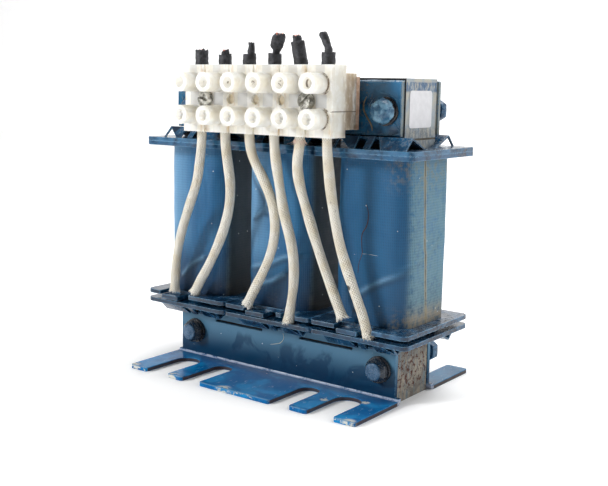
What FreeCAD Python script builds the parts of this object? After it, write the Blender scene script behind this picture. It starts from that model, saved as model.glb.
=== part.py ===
"""Three-phase line reactor on a 3UI core, with a six-pole terminal strip.

The frame: +Z up, X along the row of three coils, -Y towards the terminal strip.
The origin is on the standing surface, under the middle of the four feet.
"""
import FreeCAD
import Part
import math
import os

import Sketcher
from FreeCAD import Placement, Rotation, Vector

doc = FreeCAD.newDocument("line_reactor")
sheet = doc.addObject("Spreadsheet::Sheet", "Sizes")

LIMBS = 3
POLES = 6

SIZES = {
    # Laminated core
    "limb_width": 25.0,
    "stack_depth": 26.0,
    "yoke_height": 25.0,
    "limb_height": 88.5,
    "air_gap": 0.8,
    # Bolts through both yokes
    "bolt_edge": 8.7,
    "bolt_cover": 10.0,
    "bolt_size": 6.0,
    "bolt_clearance": 0.6,
    "hex_flats": 10.0,
    "head_height": 4.0,
    "nut_height": 5.0,
    "hex_chamfer": 0.5,
    "bolt_tail": 1.5,
    "washer_size": 12.0,
    "washer_thickness": 1.6,
    "spring_washer_size": 10.8,
    "spring_washer_thickness": 1.6,
    "spring_washer_split": 1.0,
    # Folded steel feet and clamp plates
    "steel_thickness": 2.0,
    "bend_radius": 1.0,
    "wall_drop": 0.5,
    "wall_overhang": 0.5,
    "foot_overhang": 2.5,
    "foot_length": 34.0,
    "foot_corner": 1.5,
    "inner_slot_place": 25.75,
    "inner_slot_width": 10.5,
    "outer_slot_place": 47.25,
    "outer_slot_width": 13.5,
    "slot_room": 7.2,
    "slit_length": 29.5,
    "slit_width": 1.3,
    "slit_drop": 3.45,
    "clamp_overhang": 1.0,
    "clamp_shift": -1.6,
    "clamp_height": 23.1,
    "clamp_lift": 1.0,
    "clamp_edge": 0.8,
    # Bobbins and their end plates
    "bobbin_clearance": 0.4,
    "bobbin_wall": 1.6,
    "bobbin_lift": 7.6,
    "bobbin_headroom": 6.0,
    "flange_thickness": 2.0,
    "flange_gap": 0.2,
    "flange_reach": 8.4,
    "flange_corner": 3.0,
    "tongue_left": -12.0,
    "tongue_right": -1.5,
    "tongue_gap": 1.2,
    "tongue_drop": 1.7,
    "tongue_length": 8.0,
    "lead_gap_right": 6.0,
    "notch_depth": 6.5,
    "notch_shift_left": -3.0,
    "notch_shift_centre": 1.0,
    "notch_shift_right": 2.0,
    "second_gap_left": 9.6,
    "second_gap_right": 17.6,
    "top_plate_thickness": 1.9,
    "bottom_plate_thickness": 2.0,
    "bottom_plate_gap": 2.2,
    # Folded springs on the end plates
    "spring_standoff": 3.8,
    "spring_front_run": 5.7,
    "spring_back_run": 11.8,
    "spring_height": 5.0,
    "spring_wall": 0.8,
    "spring_left": 16.0,
    "spring_right": 20.0,
    "corner_window_margin": 1.0,
    "left_window_left": -6.0,
    "left_window_right": -1.0,
    "right_window_left": 2.2,
    "right_window_right": 7.6,
    "window_slope": 4.2,
    # Windings
    "winding_build": 3.2,
    "winding_crown": 3.0,
    "winding_corner": 7.0,
    "wrap_thickness": 1.1,
    "wrap_play": 0.15,
    "coil_space": 12.4,
    # Terminal strip
    "strip_left_room": 9.5,
    "strip_right_room": 4.5,
    "strip_trim": 2.4,
    "strip_drop": 0.7,
    "strip_height": 29.6,
    "waist_depth": 1.1,
    "waist_play": 0.3,
    "strip_body_depth": 10.5,
    "strip_base_depth": 7.5,
    "strip_base_inset": 3.2,
    "groove_width": 1.1,
    "groove_depth": 1.3,
    "barrel_size": 8.4,
    "barrel_length": 9.0,
    "barrel_spread": 14.3,
    "screw_well": 4.9,
    "wire_inset": 5.7,
    "entry_size": 4.9,
    "insert_size": 6.2,
    "insert_bore": 3.7,
    "insert_length": 21.6,
    "clamp_screw_size": 4.2,
    "clamp_screw_length": 6.4,
    "upper_screw_sink": 5.6,
    "lower_screw_sink": 2.6,
    "screw_slot_width": 0.9,
    "screw_slot_depth": 1.1,
    "mount_hole": 4.3,
    "board_thickness": 2.5,
    "board_low_inset": 3.1,
    "board_high_inset": 4.6,
    "mount_screw_size": 3.8,
    "mount_head_size": 7.6,
    "mount_head_height": 2.6,
    "mount_head_bevel": 0.8,
    "mount_slot_width": 1.2,
    "mount_slot_depth": 1.3,
    "mount_slot_turn_left": -15.0,
    "mount_slot_turn_right": 43.0,
    "spacer_size": 8.0,
    "spacer_length": 3.5,
    # Leads and cut cables
    "lead_size": 4.5,
    "lead_drop": 3.7,
    "sheath_size": 5.5,
    "sheath_bore": 3.3,
    "core_size": 3.1,
    "core_rise": 1.6,
    # Sticker on the yoke's right end
    "sticker_length": 18.5,
    "sticker_height": 15.6,
    "sticker_thickness": 0.3,
    "sticker_corner": 1.5,
    "sticker_shift": -0.8,
    "sticker_lift": 4.4,
}

for row, (alias, value) in enumerate(SIZES.items(), start=1):
    cell = "A%d" % row
    sheet.set(cell, str(value))
    sheet.setAlias(cell, alias)
doc.recompute()


def size(alias):
    """One driving size, read back from the sheet."""
    return float(sheet.get(alias))


def worked_out(alias, formula):
    """Add a cell that is worked out from the driving sizes."""
    row = len(SIZES) + len(WORKED_OUT) + 1
    cell = "A%d" % row
    sheet.set(cell, "=" + formula)
    sheet.setAlias(cell, alias)
    WORKED_OUT.append(alias)
    doc.recompute()


WORKED_OUT = []
# Across the coils
worked_out("tube_inner_width", "limb_width + 2 * bobbin_clearance")
worked_out("tube_outer_width", "tube_inner_width + 2 * bobbin_wall")
worked_out("winding_width", "tube_outer_width + 2 * winding_build")
worked_out("wrap_width", "winding_width + 2 * wrap_thickness")
worked_out("limb_pitch", "wrap_width + coil_space")
worked_out("flange_width", "limb_pitch - flange_gap")
worked_out("core_width", "2 * limb_pitch + limb_width")
worked_out("bolt_reach", "core_width / 2 - bolt_edge")
worked_out("bolt_hole", "bolt_size + bolt_clearance")
worked_out("wall_width", "core_width + 2 * wall_overhang")
worked_out("foot_width", "core_width + 2 * foot_overhang")
worked_out("clamp_width", "core_width + 2 * clamp_overhang")
# From the core's middle to the front
worked_out("half_stack", "stack_depth / 2")
worked_out("wall_face", "half_stack + steel_thickness")
worked_out("foot_reach", "wall_face + foot_length")
worked_out("slot_end", "wall_face + slot_room")
worked_out("tube_inner_depth", "stack_depth + 2 * bobbin_clearance")
worked_out("tube_outer_depth", "tube_inner_depth + 2 * bobbin_wall")
worked_out("winding_depth", "tube_outer_depth + 2 * winding_crown")
worked_out("wrap_depth", "winding_depth + 2 * wrap_thickness")
worked_out("wrap_corner", "winding_corner + wrap_thickness")
worked_out("flange_depth", "wrap_depth + 2 * flange_reach")
worked_out("spring_ridge", "wall_face + spring_standoff")
worked_out("spring_front", "spring_ridge + spring_front_run")
worked_out("spring_back", "spring_ridge - spring_back_run")
worked_out("board_back", "wall_face + spacer_length")
worked_out("strip_back", "board_back + board_thickness")
worked_out("strip_body_back", "strip_back + strip_base_depth")
worked_out("strip_front", "strip_body_back + strip_body_depth")
worked_out("strip_waist", "strip_front - waist_depth")
worked_out("wire_axis", "strip_front - wire_inset")
worked_out("barrel_mouth", "strip_front + barrel_length")
worked_out("clamp_screw_upper", "barrel_mouth - upper_screw_sink")
worked_out("clamp_screw_lower", "barrel_mouth - lower_screw_sink")
# From the standing surface to the top
worked_out("wall_height", "yoke_height - wall_drop")
worked_out("slit_height", "wall_height - slit_drop")
worked_out("bobbin_bottom", "yoke_height + bobbin_lift")
worked_out("top_yoke_base", "yoke_height + limb_height + air_gap")
worked_out("core_top", "top_yoke_base + yoke_height")
worked_out("lower_bolt_height", "yoke_height - bolt_cover")
worked_out("upper_bolt_height", "top_yoke_base + bolt_cover")
worked_out("clamp_bottom", "top_yoke_base + clamp_lift")
worked_out("bobbin_top", "top_yoke_base - bobbin_headroom")
worked_out("winding_bottom", "bobbin_bottom + flange_thickness")
worked_out("winding_top", "bobbin_top - flange_thickness")
worked_out("winding_height", "winding_top - winding_bottom")
worked_out("strip_bottom", "clamp_bottom - strip_drop")
worked_out("strip_middle_height", "strip_bottom + strip_height / 2")
worked_out("strip_top", "strip_bottom + strip_height")
worked_out("waist_half", "mount_head_size / 2 + waist_play")
worked_out("lower_row", "strip_middle_height - barrel_spread / 2")
worked_out("insert_bottom", "strip_middle_height - insert_length / 2")
worked_out("board_bottom", "strip_bottom + board_low_inset")
worked_out("board_height", "strip_height - board_low_inset - board_high_inset")
worked_out("cable_seat", "strip_middle_height + core_rise")
# Along the terminal strip, between the upper bolts
worked_out("strip_left", "washer_size / 2 - bolt_reach + strip_left_room")
worked_out("strip_right", "bolt_reach - washer_size / 2 - strip_right_room")
worked_out("strip_length", "strip_right - strip_left")
worked_out("pole_pitch", "strip_length / %d + strip_trim / %d" % (POLES, POLES))
worked_out("first_pole", "strip_left + pole_pitch / 2 - strip_trim / 2")
worked_out("left_mount_screw", "first_pole + pole_pitch / 2")
worked_out("mount_screw_span", "pole_pitch * %d" % (POLES - 2))
worked_out("right_mount_screw", "left_mount_screw + mount_screw_span")


def check(item):
    """Stop where a feature has failed or has no valid solid."""
    bad = [state for state in item.State if state in ("Invalid", "Error")]
    shape = item.Shape
    if bad or shape.isNull() or not shape.isValid() or shape.Volume <= 0:
        raise RuntimeError("%s failed: %s" % (item.Label, item.State))
    return item


def with_sheet(formula):
    """Write a formula's sizes with the sheet's name in front."""
    words = []
    for word in formula.replace("(", " ( ").replace(")", " ) ").split():
        known = word in SIZES or word in WORKED_OUT
        words.append("Sizes." + word if known else word)
    return " ".join(words)


def value_of(formula):
    """The number that a formula on the sheet's sizes gives now."""
    names = {name: size(name) for name in SIZES}
    names.update({name: size(name) for name in WORKED_OUT})
    total = 0.0
    sign = 1.0
    product = None
    operation = "*"
    for word in formula.split():
        if word in ("+", "-") and product is not None:
            total += sign * product
            sign = 1.0 if word == "+" else -1.0
            product = None
            operation = "*"
        elif word == "-":
            sign = -sign
        elif word in ("*", "/"):
            operation = word
        else:
            number = names[word] if word in names else float(word)
            if product is None:
                product = number
            else:
                product = product * number if operation == "*" else product / number
    return total + sign * product


def new_body(label):
    body = doc.addObject("PartDesign::Body", label)
    body.Label = label
    return body


def origin_feature(body, role):
    return next(item for item in body.Origin.OriginFeatures if item.Role == role)


def new_sketch(body, name, role, offset="0"):
    """A sketch on one of the body's own origin planes, moved along its normal."""
    sketch = body.newObject("Sketcher::SketchObject", name)
    sketch.AttachmentSupport = [(origin_feature(body, role), "")]
    sketch.MapMode = "FlatFace"
    sketch.setExpression("AttachmentOffset.Base.z", with_sheet(offset))
    return sketch


def pin(sketch, element, point, across, up):
    """Hold one point of the sketch at a place worked out from the sheet."""
    for kind, formula in (("DistanceX", across), ("DistanceY", up)):
        held = sketch.addConstraint(
            Sketcher.Constraint(kind, -1, 1, element, point, value_of(formula)))
        sketch.setExpression("Constraints[%d]" % held, with_sheet(formula))


def add_polygon(sketch, corners):
    """A closed outline of straight lines through the corners."""
    first = sketch.GeometryCount
    places = [Vector(value_of(across), value_of(up), 0) for across, up in corners]
    count = len(corners)
    for step in range(count):
        sketch.addGeometry(Part.LineSegment(places[step], places[(step + 1) % count]))
    for step in range(count):
        following = first + (step + 1) % count
        sketch.addConstraint(Sketcher.Constraint("Coincident", first + step, 2, following, 1))
    for step, (across, up) in enumerate(corners):
        pin(sketch, first + step, 1, across, up)


def add_rectangle(sketch, left, right, low, high):
    add_polygon(sketch, [(left, low), (right, low), (right, high), (left, high)])


def add_circle(sketch, across, up, diameter):
    """A full circle, pinned at its centre."""
    centre = Vector(value_of(across), value_of(up), 0)
    radius = value_of(diameter) / 2
    element = sketch.addGeometry(Part.Circle(centre, Vector(0, 0, 1), radius))
    pin(sketch, element, 3, across, up)
    held = sketch.addConstraint(Sketcher.Constraint("Diameter", element, 2 * radius))
    sketch.setExpression("Constraints[%d]" % held, with_sheet(diameter))


def add_rounded_rectangle(sketch, half_width, half_depth, corner):
    """A rectangle about the origin with an arc at each corner."""
    x = value_of(half_width)
    y = value_of(half_depth)
    radius = value_of(corner)
    for across, up, angle in ((1, 1, 0), (-1, 1, 90), (-1, -1, 180), (1, -1, 270)):
        centre = Vector(across * (x - radius), up * (y - radius), 0)
        circle = Part.Circle(centre, Vector(0, 0, 1), radius)
        start = math.radians(angle)
        element = sketch.addGeometry(Part.ArcOfCircle(circle, start, start + math.pi / 2))
        side = "0 + " if across > 0 else "0 - "
        rise = "0 + " if up > 0 else "0 - "
        pull = " - " if across > 0 else " + "
        drop = " - " if up > 0 else " + "
        pin(sketch, element, 3, side + half_width + pull + corner,
            rise + half_depth + drop + corner)
        held = sketch.addConstraint(Sketcher.Constraint("Radius", element, radius))
        sketch.setExpression("Constraints[%d]" % held, with_sheet(corner))
    last = sketch.GeometryCount
    for step in range(4):
        arc = last - 4 + step
        following = last - 4 + (step + 1) % 4
        ends = sketch.getPoint(arc, 2), sketch.getPoint(following, 1)
        line = sketch.addGeometry(Part.LineSegment(*ends))
        sketch.addConstraint(Sketcher.Constraint("Tangent", arc, 2, line, 1))
        sketch.addConstraint(Sketcher.Constraint("Tangent", line, 2, following, 1))


def extrude(body, sketch, length, name, symmetric=False, reverse=False):
    """Add material from a sketch."""
    pad = body.newObject("PartDesign::Pad", name)
    pad.Profile = sketch
    pad.setExpression("Length", with_sheet(length))
    pad.SideType = "Symmetric" if symmetric else "One side"
    pad.Reversed = reverse
    doc.recompute()
    return check(pad)


def cut(body, sketch, length, name):
    """Take material away, evenly to both sides of the sketch."""
    before = body.Shape.Volume
    pocket = body.newObject("PartDesign::Pocket", name)
    pocket.Profile = sketch
    pocket.setExpression("Length", with_sheet(length))
    pocket.SideType = "Symmetric"
    doc.recompute()
    check(pocket)
    if not pocket.Shape.Volume < before:
        raise RuntimeError("%s cuts nothing" % name)
    return pocket


def round_edges(body, chosen, radius, name, kind="Fillet"):
    """Round or bevel the edges of the body's tip that the test picks."""
    tip = body.Tip
    edges = []
    for number, edge in enumerate(tip.Shape.Edges, start=1):
        if chosen(edge):
            edges.append("Edge%d" % number)
    dressed = body.newObject("PartDesign::" + kind, name)
    dressed.Base = (tip, edges)
    dressed.setExpression("Radius" if kind == "Fillet" else "Size", with_sheet(radius))
    doc.recompute()
    return check(dressed)


def along_x(body, features, step, count, name):
    """Repeat features along the row of poles or coils."""
    pattern = body.newObject("PartDesign::LinearPattern", name)
    pattern.Originals = features
    pattern.Direction = (origin_feature(body, "X_Axis"), [""])
    pattern.Occurrences = count
    pattern.setExpression("Length", with_sheet("%s * %d" % (step, count - 1)))
    body.Tip = pattern
    doc.recompute()
    return check(pattern)


NEAR = 0.01
FULL_TURN = 360
HALF_FLAT = math.radians(30)


def is_upright(edge):
    """True for a straight edge that runs along Z."""
    ends = [vertex.Point for vertex in edge.Vertexes]
    if len(ends) != 2 or edge.Curve.TypeId != "Part::GeomLine":
        return False
    run = ends[1] - ends[0]
    return abs(run.x) < NEAR and abs(run.y) < NEAR


def at(edge, x=None, y=None, z=None):
    """True where the edge's middle lies at the coordinates that are given."""
    middle = edge.BoundBox.Center
    wanted = ((middle.x, x), (middle.y, y), (middle.z, z))
    return all(place is None or abs(here - place) < NEAR for here, place in wanted)


# The standing core: the lower yoke with its three limbs, and the upper yoke

def core_e_stack():
    """Lower yoke and three limbs, one stack of E laminations."""
    body = new_body("core_e_stack")
    profile = new_sketch(body, "e_profile", "XZ_Plane")
    half = "core_width / 2"
    limb_top = "yoke_height + limb_height"
    corners = [("0 - " + half, "0"), (half, "0")]
    for centre in ("limb_pitch", "0", "0 - limb_pitch"):
        right = half if centre == "limb_pitch" else centre + " + limb_width / 2"
        left = "0 - " + half if centre == "0 - limb_pitch" else centre + " - limb_width / 2"
        if centre != "limb_pitch":
            corners.append((right, "yoke_height"))
        corners.append((right, limb_top))
        corners.append((left, limb_top))
        if centre != "0 - limb_pitch":
            corners.append((left, "yoke_height"))
    add_polygon(profile, corners)
    extrude(body, profile, "stack_depth", "stack", symmetric=True)
    holes = new_sketch(body, "bolt_holes", "XZ_Plane")
    for side in ("0 - bolt_reach", "bolt_reach"):
        add_circle(holes, side, "lower_bolt_height", "bolt_hole")
    cut(body, holes, "stack_depth", "bolt_bores")
    return body


def core_i_stack():
    """Upper yoke, a bar of I laminations above the gap pads."""
    body = new_body("core_i_stack")
    profile = new_sketch(body, "i_profile", "XZ_Plane")
    add_rectangle(profile, "0 - core_width / 2", "core_width / 2", "top_yoke_base", "core_top")
    extrude(body, profile, "stack_depth", "stack", symmetric=True)
    holes = new_sketch(body, "bolt_holes", "XZ_Plane")
    for side in ("0 - bolt_reach", "bolt_reach"):
        add_circle(holes, side, "upper_bolt_height", "bolt_hole")
    cut(body, holes, "stack_depth", "bolt_bores")
    return body


def gap_spacers():
    """Three hard pads between the limbs and the upper yoke, which set the air gap."""
    body = new_body("gap_spacers")
    body.AllowCompound = True
    outline = new_sketch(body, "pad_outline", "XY_Plane", "yoke_height + limb_height")
    left = "0 - limb_pitch - limb_width / 2"
    right = "0 - limb_pitch + limb_width / 2"
    add_rectangle(outline, left, right, "0 - half_stack", "half_stack")
    pad = extrude(body, outline, "air_gap", "pad")
    along_x(body, [pad], "limb_pitch", LIMBS, "pads")
    return body


# Folded steel feet and flat clamp plates

def bracket(label, turn):
    """Foot and wall, folded from one sheet, with four open fixing slots."""
    body = new_body(label)
    section = new_sketch(body, "fold_section", "YZ_Plane")
    front = "0 - foot_reach"
    outer = "0 - wall_face"
    inner = "0 - half_stack"
    add_polygon(section, [(front, "0"), (inner, "0"), (inner, "wall_height"),
                          (outer, "wall_height"), (outer, "steel_thickness"),
                          (front, "steel_thickness")])
    extrude(body, section, "foot_width", "folded_sheet", symmetric=True)
    heel = size("half_stack")
    corner = size("wall_face")
    sheet_up = size("steel_thickness")
    round_edges(body, lambda edge: at(edge, x=0, y=-corner, z=sheet_up), "bend_radius", "inner_bend")
    round_edges(body, lambda edge: at(edge, x=0, y=-heel, z=0),
                "bend_radius + steel_thickness", "outer_bend")
    trim = new_sketch(body, "wall_ends", "XZ_Plane", "half_stack")
    above = "steel_thickness + bend_radius"
    over = "wall_height + steel_thickness"
    add_rectangle(trim, "wall_width / 2", "foot_width", above, over)
    add_rectangle(trim, "0 - foot_width", "0 - wall_width / 2", above, over)
    cut(body, trim, "4 * steel_thickness", "wall_trim")
    slots = new_sketch(body, "slot_runs", "XY_Plane")
    ends = new_sketch(body, "slot_ends", "XY_Plane")
    for kind in ("inner_slot", "outer_slot"):
        half = kind + "_width / 2"
        bottom = "0 - slot_end - " + half
        for sign in ("+", "-"):
            centre = "0 %s %s_place" % (sign, kind)
            add_rectangle(slots, centre + " - " + half, centre + " + " + half,
                          "0 - foot_reach - steel_thickness", bottom)
            add_circle(ends, centre, bottom, kind + "_width")
    cut(body, slots, "4 * steel_thickness", "slot_cuts")
    cut(body, ends, "4 * steel_thickness", "slot_rounds")
    slits = new_sketch(body, "wall_slits", "XZ_Plane", "half_stack")
    for sign in ("+", "-"):
        centre = "0 %s inner_slot_place" % sign
        add_rectangle(slits, centre + " - slit_length / 2", centre + " + slit_length / 2",
                      "slit_height - slit_width / 2", "slit_height + slit_width / 2")
    cut(body, slits, "4 * steel_thickness", "slit_cuts")
    holes = new_sketch(body, "bolt_holes", "XZ_Plane", "half_stack")
    for side in ("0 - bolt_reach", "bolt_reach"):
        add_circle(holes, side, "lower_bolt_height", "bolt_hole")
    cut(body, holes, "4 * steel_thickness", "bolt_bores")
    tip_line = -size("foot_reach")
    round_edges(body, lambda edge: is_upright(edge) and at(edge, y=tip_line),
                "foot_corner", "tip_corners")
    body.Placement = Placement(Vector(), Rotation(Vector(0, 0, 1), turn))
    return body


def clamp_plate(label, turn, shift, has_strip):
    """Flat steel plate that clamps the upper yoke."""
    body = new_body(label)
    outline = new_sketch(body, "plate_outline", "XZ_Plane", "half_stack")
    add_rectangle(outline, shift + " - clamp_width / 2", shift + " + clamp_width / 2",
                  "clamp_bottom", "clamp_bottom + clamp_height")
    extrude(body, outline, "steel_thickness", "plate")
    holes = new_sketch(body, "holes", "XZ_Plane", "half_stack")
    for side in ("0 - bolt_reach", "bolt_reach"):
        add_circle(holes, side, "upper_bolt_height", "bolt_hole")
    if has_strip:
        for side in ("left_mount_screw", "right_mount_screw"):
            add_circle(holes, side, "strip_middle_height", "mount_screw_size")
    cut(body, holes, "4 * steel_thickness", "bores")
    top = size("clamp_bottom") + size("clamp_height")
    face = -size("wall_face")
    round_edges(body, lambda edge: at(edge, y=face, z=top), "clamp_edge", "rolled_edge")
    body.Placement = Placement(Vector(), Rotation(Vector(0, 0, 1), turn))
    return body


# Bobbins, end plates and windings

def bobbin(label, place, shift, second_gap):
    """Moulded tube with two flanges; the lower one has a tongue and one or two lead gaps."""
    body = new_body(label)
    tube = new_sketch(body, "tube_section", "XY_Plane", "bobbin_bottom")
    half_width = "tube_outer_width / 2"
    half_depth = "tube_outer_depth / 2"
    add_rectangle(tube, "0 - " + half_width, half_width, "0 - " + half_depth, half_depth)
    extrude(body, tube, "winding_height + 2 * flange_thickness", "tube")
    side = "flange_width / 2"
    front = "flange_depth / 2"
    for name, height in (("lower", "bobbin_bottom"), ("upper", "winding_top")):
        outline = new_sketch(body, name + "_outline", "XY_Plane", height)
        add_rectangle(outline, "0 - " + side, side, "0 - " + front, front)
        extrude(body, outline, "flange_thickness", name + "_flange")
    edge_x = size("flange_width") / 2
    edge_y = size("flange_depth") / 2
    round_edges(body, lambda edge: is_upright(edge) and abs(abs(edge.CenterOfMass.x) - edge_x) < NEAR
                and abs(abs(edge.CenterOfMass.y) - edge_y) < NEAR, "flange_corner", "flange_corners")
    notch = new_sketch(body, "lead_notch", "XY_Plane", "bobbin_bottom")
    inner = "0 - flange_depth / 2 + notch_depth"
    beyond = "0 - flange_depth / 2 - flange_corner"
    add_rectangle(notch, "tongue_left - tongue_gap + " + shift, "lead_gap_right + " + shift,
                  beyond, inner)
    if second_gap:
        add_rectangle(notch, "second_gap_left", "second_gap_right", beyond, inner)
    cut(body, notch, "4 * flange_thickness", "lead_notch_cut")
    tongue = new_sketch(body, "tongue_outline", "XY_Plane", "bobbin_bottom - tongue_drop")
    add_rectangle(tongue, "tongue_left + " + shift, "tongue_right + " + shift,
                  "0 - flange_depth / 2", "0 - flange_depth / 2 + tongue_length")
    extrude(body, tongue, "flange_thickness", "tongue")
    hole = new_sketch(body, "limb_hole", "XY_Plane", "bobbin_bottom + winding_height / 2")
    hole_x = "tube_inner_width / 2"
    hole_y = "tube_inner_depth / 2"
    add_rectangle(hole, "0 - " + hole_x, hole_x, "0 - " + hole_y, hole_y)
    cut(body, hole, "2 * winding_height", "limb_bore")
    body.setExpression("Placement.Base.x", with_sheet(place))
    return body


def end_plate(label, place, height, thickness, collar, turn):
    """Plate at a bobbin's end, with a folded spring along its front and its back.

    It is drawn with the coil below it, so the lower ones are turned over.
    """
    body = new_body(label)
    outline = new_sketch(body, "plate_outline", "XY_Plane")
    side = "flange_width / 2"
    front = "flange_depth / 2"
    add_rectangle(outline, "0 - " + side, side, "0 - " + front, front)
    extrude(body, outline, thickness, "plate")
    round_edges(body, lambda edge: is_upright(edge), "flange_corner", "plate_corners")
    if collar:
        ring = new_sketch(body, "collar_outline", "XY_Plane")
        half_width = "tube_outer_width / 2"
        half_depth = "tube_outer_depth / 2"
        add_rectangle(ring, "0 - " + half_width, half_width, "0 - " + half_depth, half_depth)
        extrude(body, ring, collar, "collar", reverse=True)
    spring = new_sketch(body, "spring_section", "YZ_Plane", "0 - spring_left")
    foot = thickness + " - spring_wall / 2"
    ridge = thickness + " + spring_height"
    add_polygon(spring, [("0 - spring_front", foot),
                         ("0 - spring_ridge - spring_wall / 2", ridge),
                         ("0 - spring_ridge + spring_wall / 2", ridge),
                         ("0 - spring_back", foot),
                         ("0 - spring_back - 2 * spring_wall", foot),
                         ("0 - spring_ridge", ridge + " - spring_wall"),
                         ("0 - spring_front + spring_wall", foot)])
    fold = extrude(body, spring, "spring_left + spring_right", "spring")
    windows = new_sketch(body, "spring_windows", "XZ_Plane", "spring_front - spring_wall")
    low = thickness
    high = thickness + " + spring_height"
    over = high + " + spring_wall"
    edge = "0 - spring_left + corner_window_margin"
    add_polygon(windows, [(edge, low), ("0 - spring_left / 2", low),
                          (edge, high + " - spring_wall")])
    add_polygon(windows, [("left_window_left + corner_window_margin", low),
                          ("left_window_right", low), ("left_window_right", over),
                          ("left_window_left", over)])
    add_polygon(windows, [("right_window_left", low), ("right_window_right", low),
                          ("right_window_right - window_slope", over),
                          ("right_window_left", over)])
    openings = cut(body, windows, "2 * spring_front - 2 * spring_ridge", "windows")
    turned = body.newObject("PartDesign::PolarPattern", "both_springs")
    turned.Originals = [fold, openings]
    turned.Axis = (origin_feature(body, "Z_Axis"), [""])
    turned.Angle = FULL_TURN
    turned.Occurrences = 2
    body.Tip = turned
    doc.recompute()
    check(turned)
    hole = new_sketch(body, "limb_hole", "XY_Plane")
    hole_x = "tube_inner_width / 2"
    hole_y = "tube_inner_depth / 2"
    add_rectangle(hole, "0 - " + hole_x, hole_x, "0 - " + hole_y, hole_y)
    cut(body, hole, "4 * spring_height", "limb_bore")
    body.Placement = Placement(Vector(), Rotation(Vector(0, 1, 0), turn))
    body.setExpression("Placement.Base.x", with_sheet(place))
    body.setExpression("Placement.Base.z", with_sheet(height))
    return body


def ring(label, place, outer, inner, clear, height):
    """A tall ring round a limb: the copper of a winding, or its wrapping.

    Outer and inner each give the ring's width, depth and corner radius there.
    """
    body = new_body(label)
    outline = new_sketch(body, "ring_outline", "XY_Plane", "winding_bottom + " + clear)
    for width, depth, corner in (outer, inner):
        if corner:
            add_rounded_rectangle(outline, width + " / 2", depth + " / 2", corner)
        else:
            add_rectangle(outline, "0 - %s / 2" % width, width + " / 2",
                          "0 - %s / 2" % depth, depth + " / 2")
    extrude(body, outline, height, "ring")
    body.setExpression("Placement.Base.x", with_sheet(place))
    return body


# Bolts, washers and nuts

FORWARD = Rotation(Vector(1, 0, 0), 90)
HEXAGON = 6


def hex_block(name, height, bore):
    """A hexagon with both its faces turned down, standing on its own origin."""
    prism = doc.addObject("Part::Prism", name + "_prism")
    prism.Polygon = HEXAGON
    prism.setExpression("Circumradius", with_sheet("hex_flats / 2 / %r" % math.cos(HALF_FLAT)))
    prism.setExpression("Height", with_sheet(height))
    cone = doc.addObject("Part::Cone", name + "_cone")
    cone.setExpression("Radius1", with_sheet("hex_flats / 2 + 2 * " + height))
    cone.setExpression("Radius2", with_sheet("hex_flats / 2 - hex_chamfer / 2"))
    cone.setExpression("Height", with_sheet(height))
    hexagon = doc.addObject("Part::Common", name + "_hexagon")
    hexagon.Base = prism
    hexagon.Tool = cone
    if not bore:
        return hexagon
    drill = doc.addObject("Part::Cylinder", name + "_drill")
    drill.setExpression("Radius", with_sheet("bolt_size / 2"))
    drill.setExpression("Height", with_sheet(height))
    nut = doc.addObject("Part::Cut", name)
    nut.Base = hexagon
    nut.Tool = drill
    return nut


def stand(item, x, y, z):
    """Turn an item's own axis to the front and place it."""
    item.Placement = Placement(Vector(), FORWARD)
    item.setExpression("Placement.Base.x", with_sheet(x))
    item.setExpression("Placement.Base.y", with_sheet(y))
    item.setExpression("Placement.Base.z", with_sheet(z))


def bolt(label, x, z):
    """Hexagon bolt, its head in front of the two washers."""
    head = hex_block(label + "_head", "head_height", bore=False)
    shank = doc.addObject("Part::Cylinder", label + "_shank")
    length = ("2 * wall_face + 2 * washer_thickness + spring_washer_thickness"
              " + nut_height + bolt_tail")
    shank.setExpression("Radius", with_sheet("bolt_size / 2"))
    shank.setExpression("Height", with_sheet(length))
    shank.setExpression("Placement.Base.z", with_sheet("0 - ( " + length + " )"))
    whole = doc.addObject("Part::Fuse", label)
    whole.Label = label
    whole.Base = head
    whole.Tool = shank
    stand(whole, x, "0 - wall_face - washer_thickness - spring_washer_thickness", z)
    return whole


def nut(label, x, z):
    """Hexagon nut behind the rear plate and its washer."""
    whole = hex_block(label, "nut_height", bore=True)
    whole.Label = label
    stand(whole, x, "wall_face + washer_thickness + nut_height", z)
    return whole


def washer(name, outer, thickness, x, y, z):
    """A flat ring round a bolt, its rear face at y."""
    disc = doc.addObject("Part::Cylinder", name + "_disc")
    disc.setExpression("Radius", with_sheet(outer + " / 2"))
    disc.setExpression("Height", with_sheet(thickness))
    hole = doc.addObject("Part::Cylinder", name + "_hole")
    hole.setExpression("Radius", with_sheet("bolt_hole / 2"))
    hole.setExpression("Height", with_sheet(thickness))
    whole = doc.addObject("Part::Cut", name)
    whole.Base = disc
    whole.Tool = hole
    stand(whole, x, y, z)
    return whole


def split_washer(name, x, y, z):
    """A spring washer, cut through on its upper side."""
    whole = washer(name + "_ring", "spring_washer_size", "spring_washer_thickness", x, y, z)
    saw = doc.addObject("Part::Box", name + "_saw")
    saw.setExpression("Length", with_sheet("spring_washer_split"))
    saw.setExpression("Width", with_sheet("2 * spring_washer_thickness"))
    saw.setExpression("Height", with_sheet("spring_washer_size"))
    saw.setExpression("Placement.Base.x", with_sheet(x + " - spring_washer_split / 2"))
    saw.setExpression("Placement.Base.y", with_sheet(y + " - 2 * spring_washer_thickness"))
    saw.setExpression("Placement.Base.z", with_sheet(z))
    split = doc.addObject("Part::Cut", name)
    split.Base = whole
    split.Tool = saw
    return split


def group(label, members):
    """Separate like pieces that share one node."""
    whole = doc.addObject("Part::Compound", label)
    whole.Label = label
    whole.Links = members
    return whole


BOLTS = {
    "upper_left": ("0 - bolt_reach", "upper_bolt_height"),
    "upper_right": ("bolt_reach", "upper_bolt_height"),
    "lower_left": ("0 - bolt_reach", "lower_bolt_height"),
    "lower_right": ("bolt_reach", "lower_bolt_height"),
}


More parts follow.
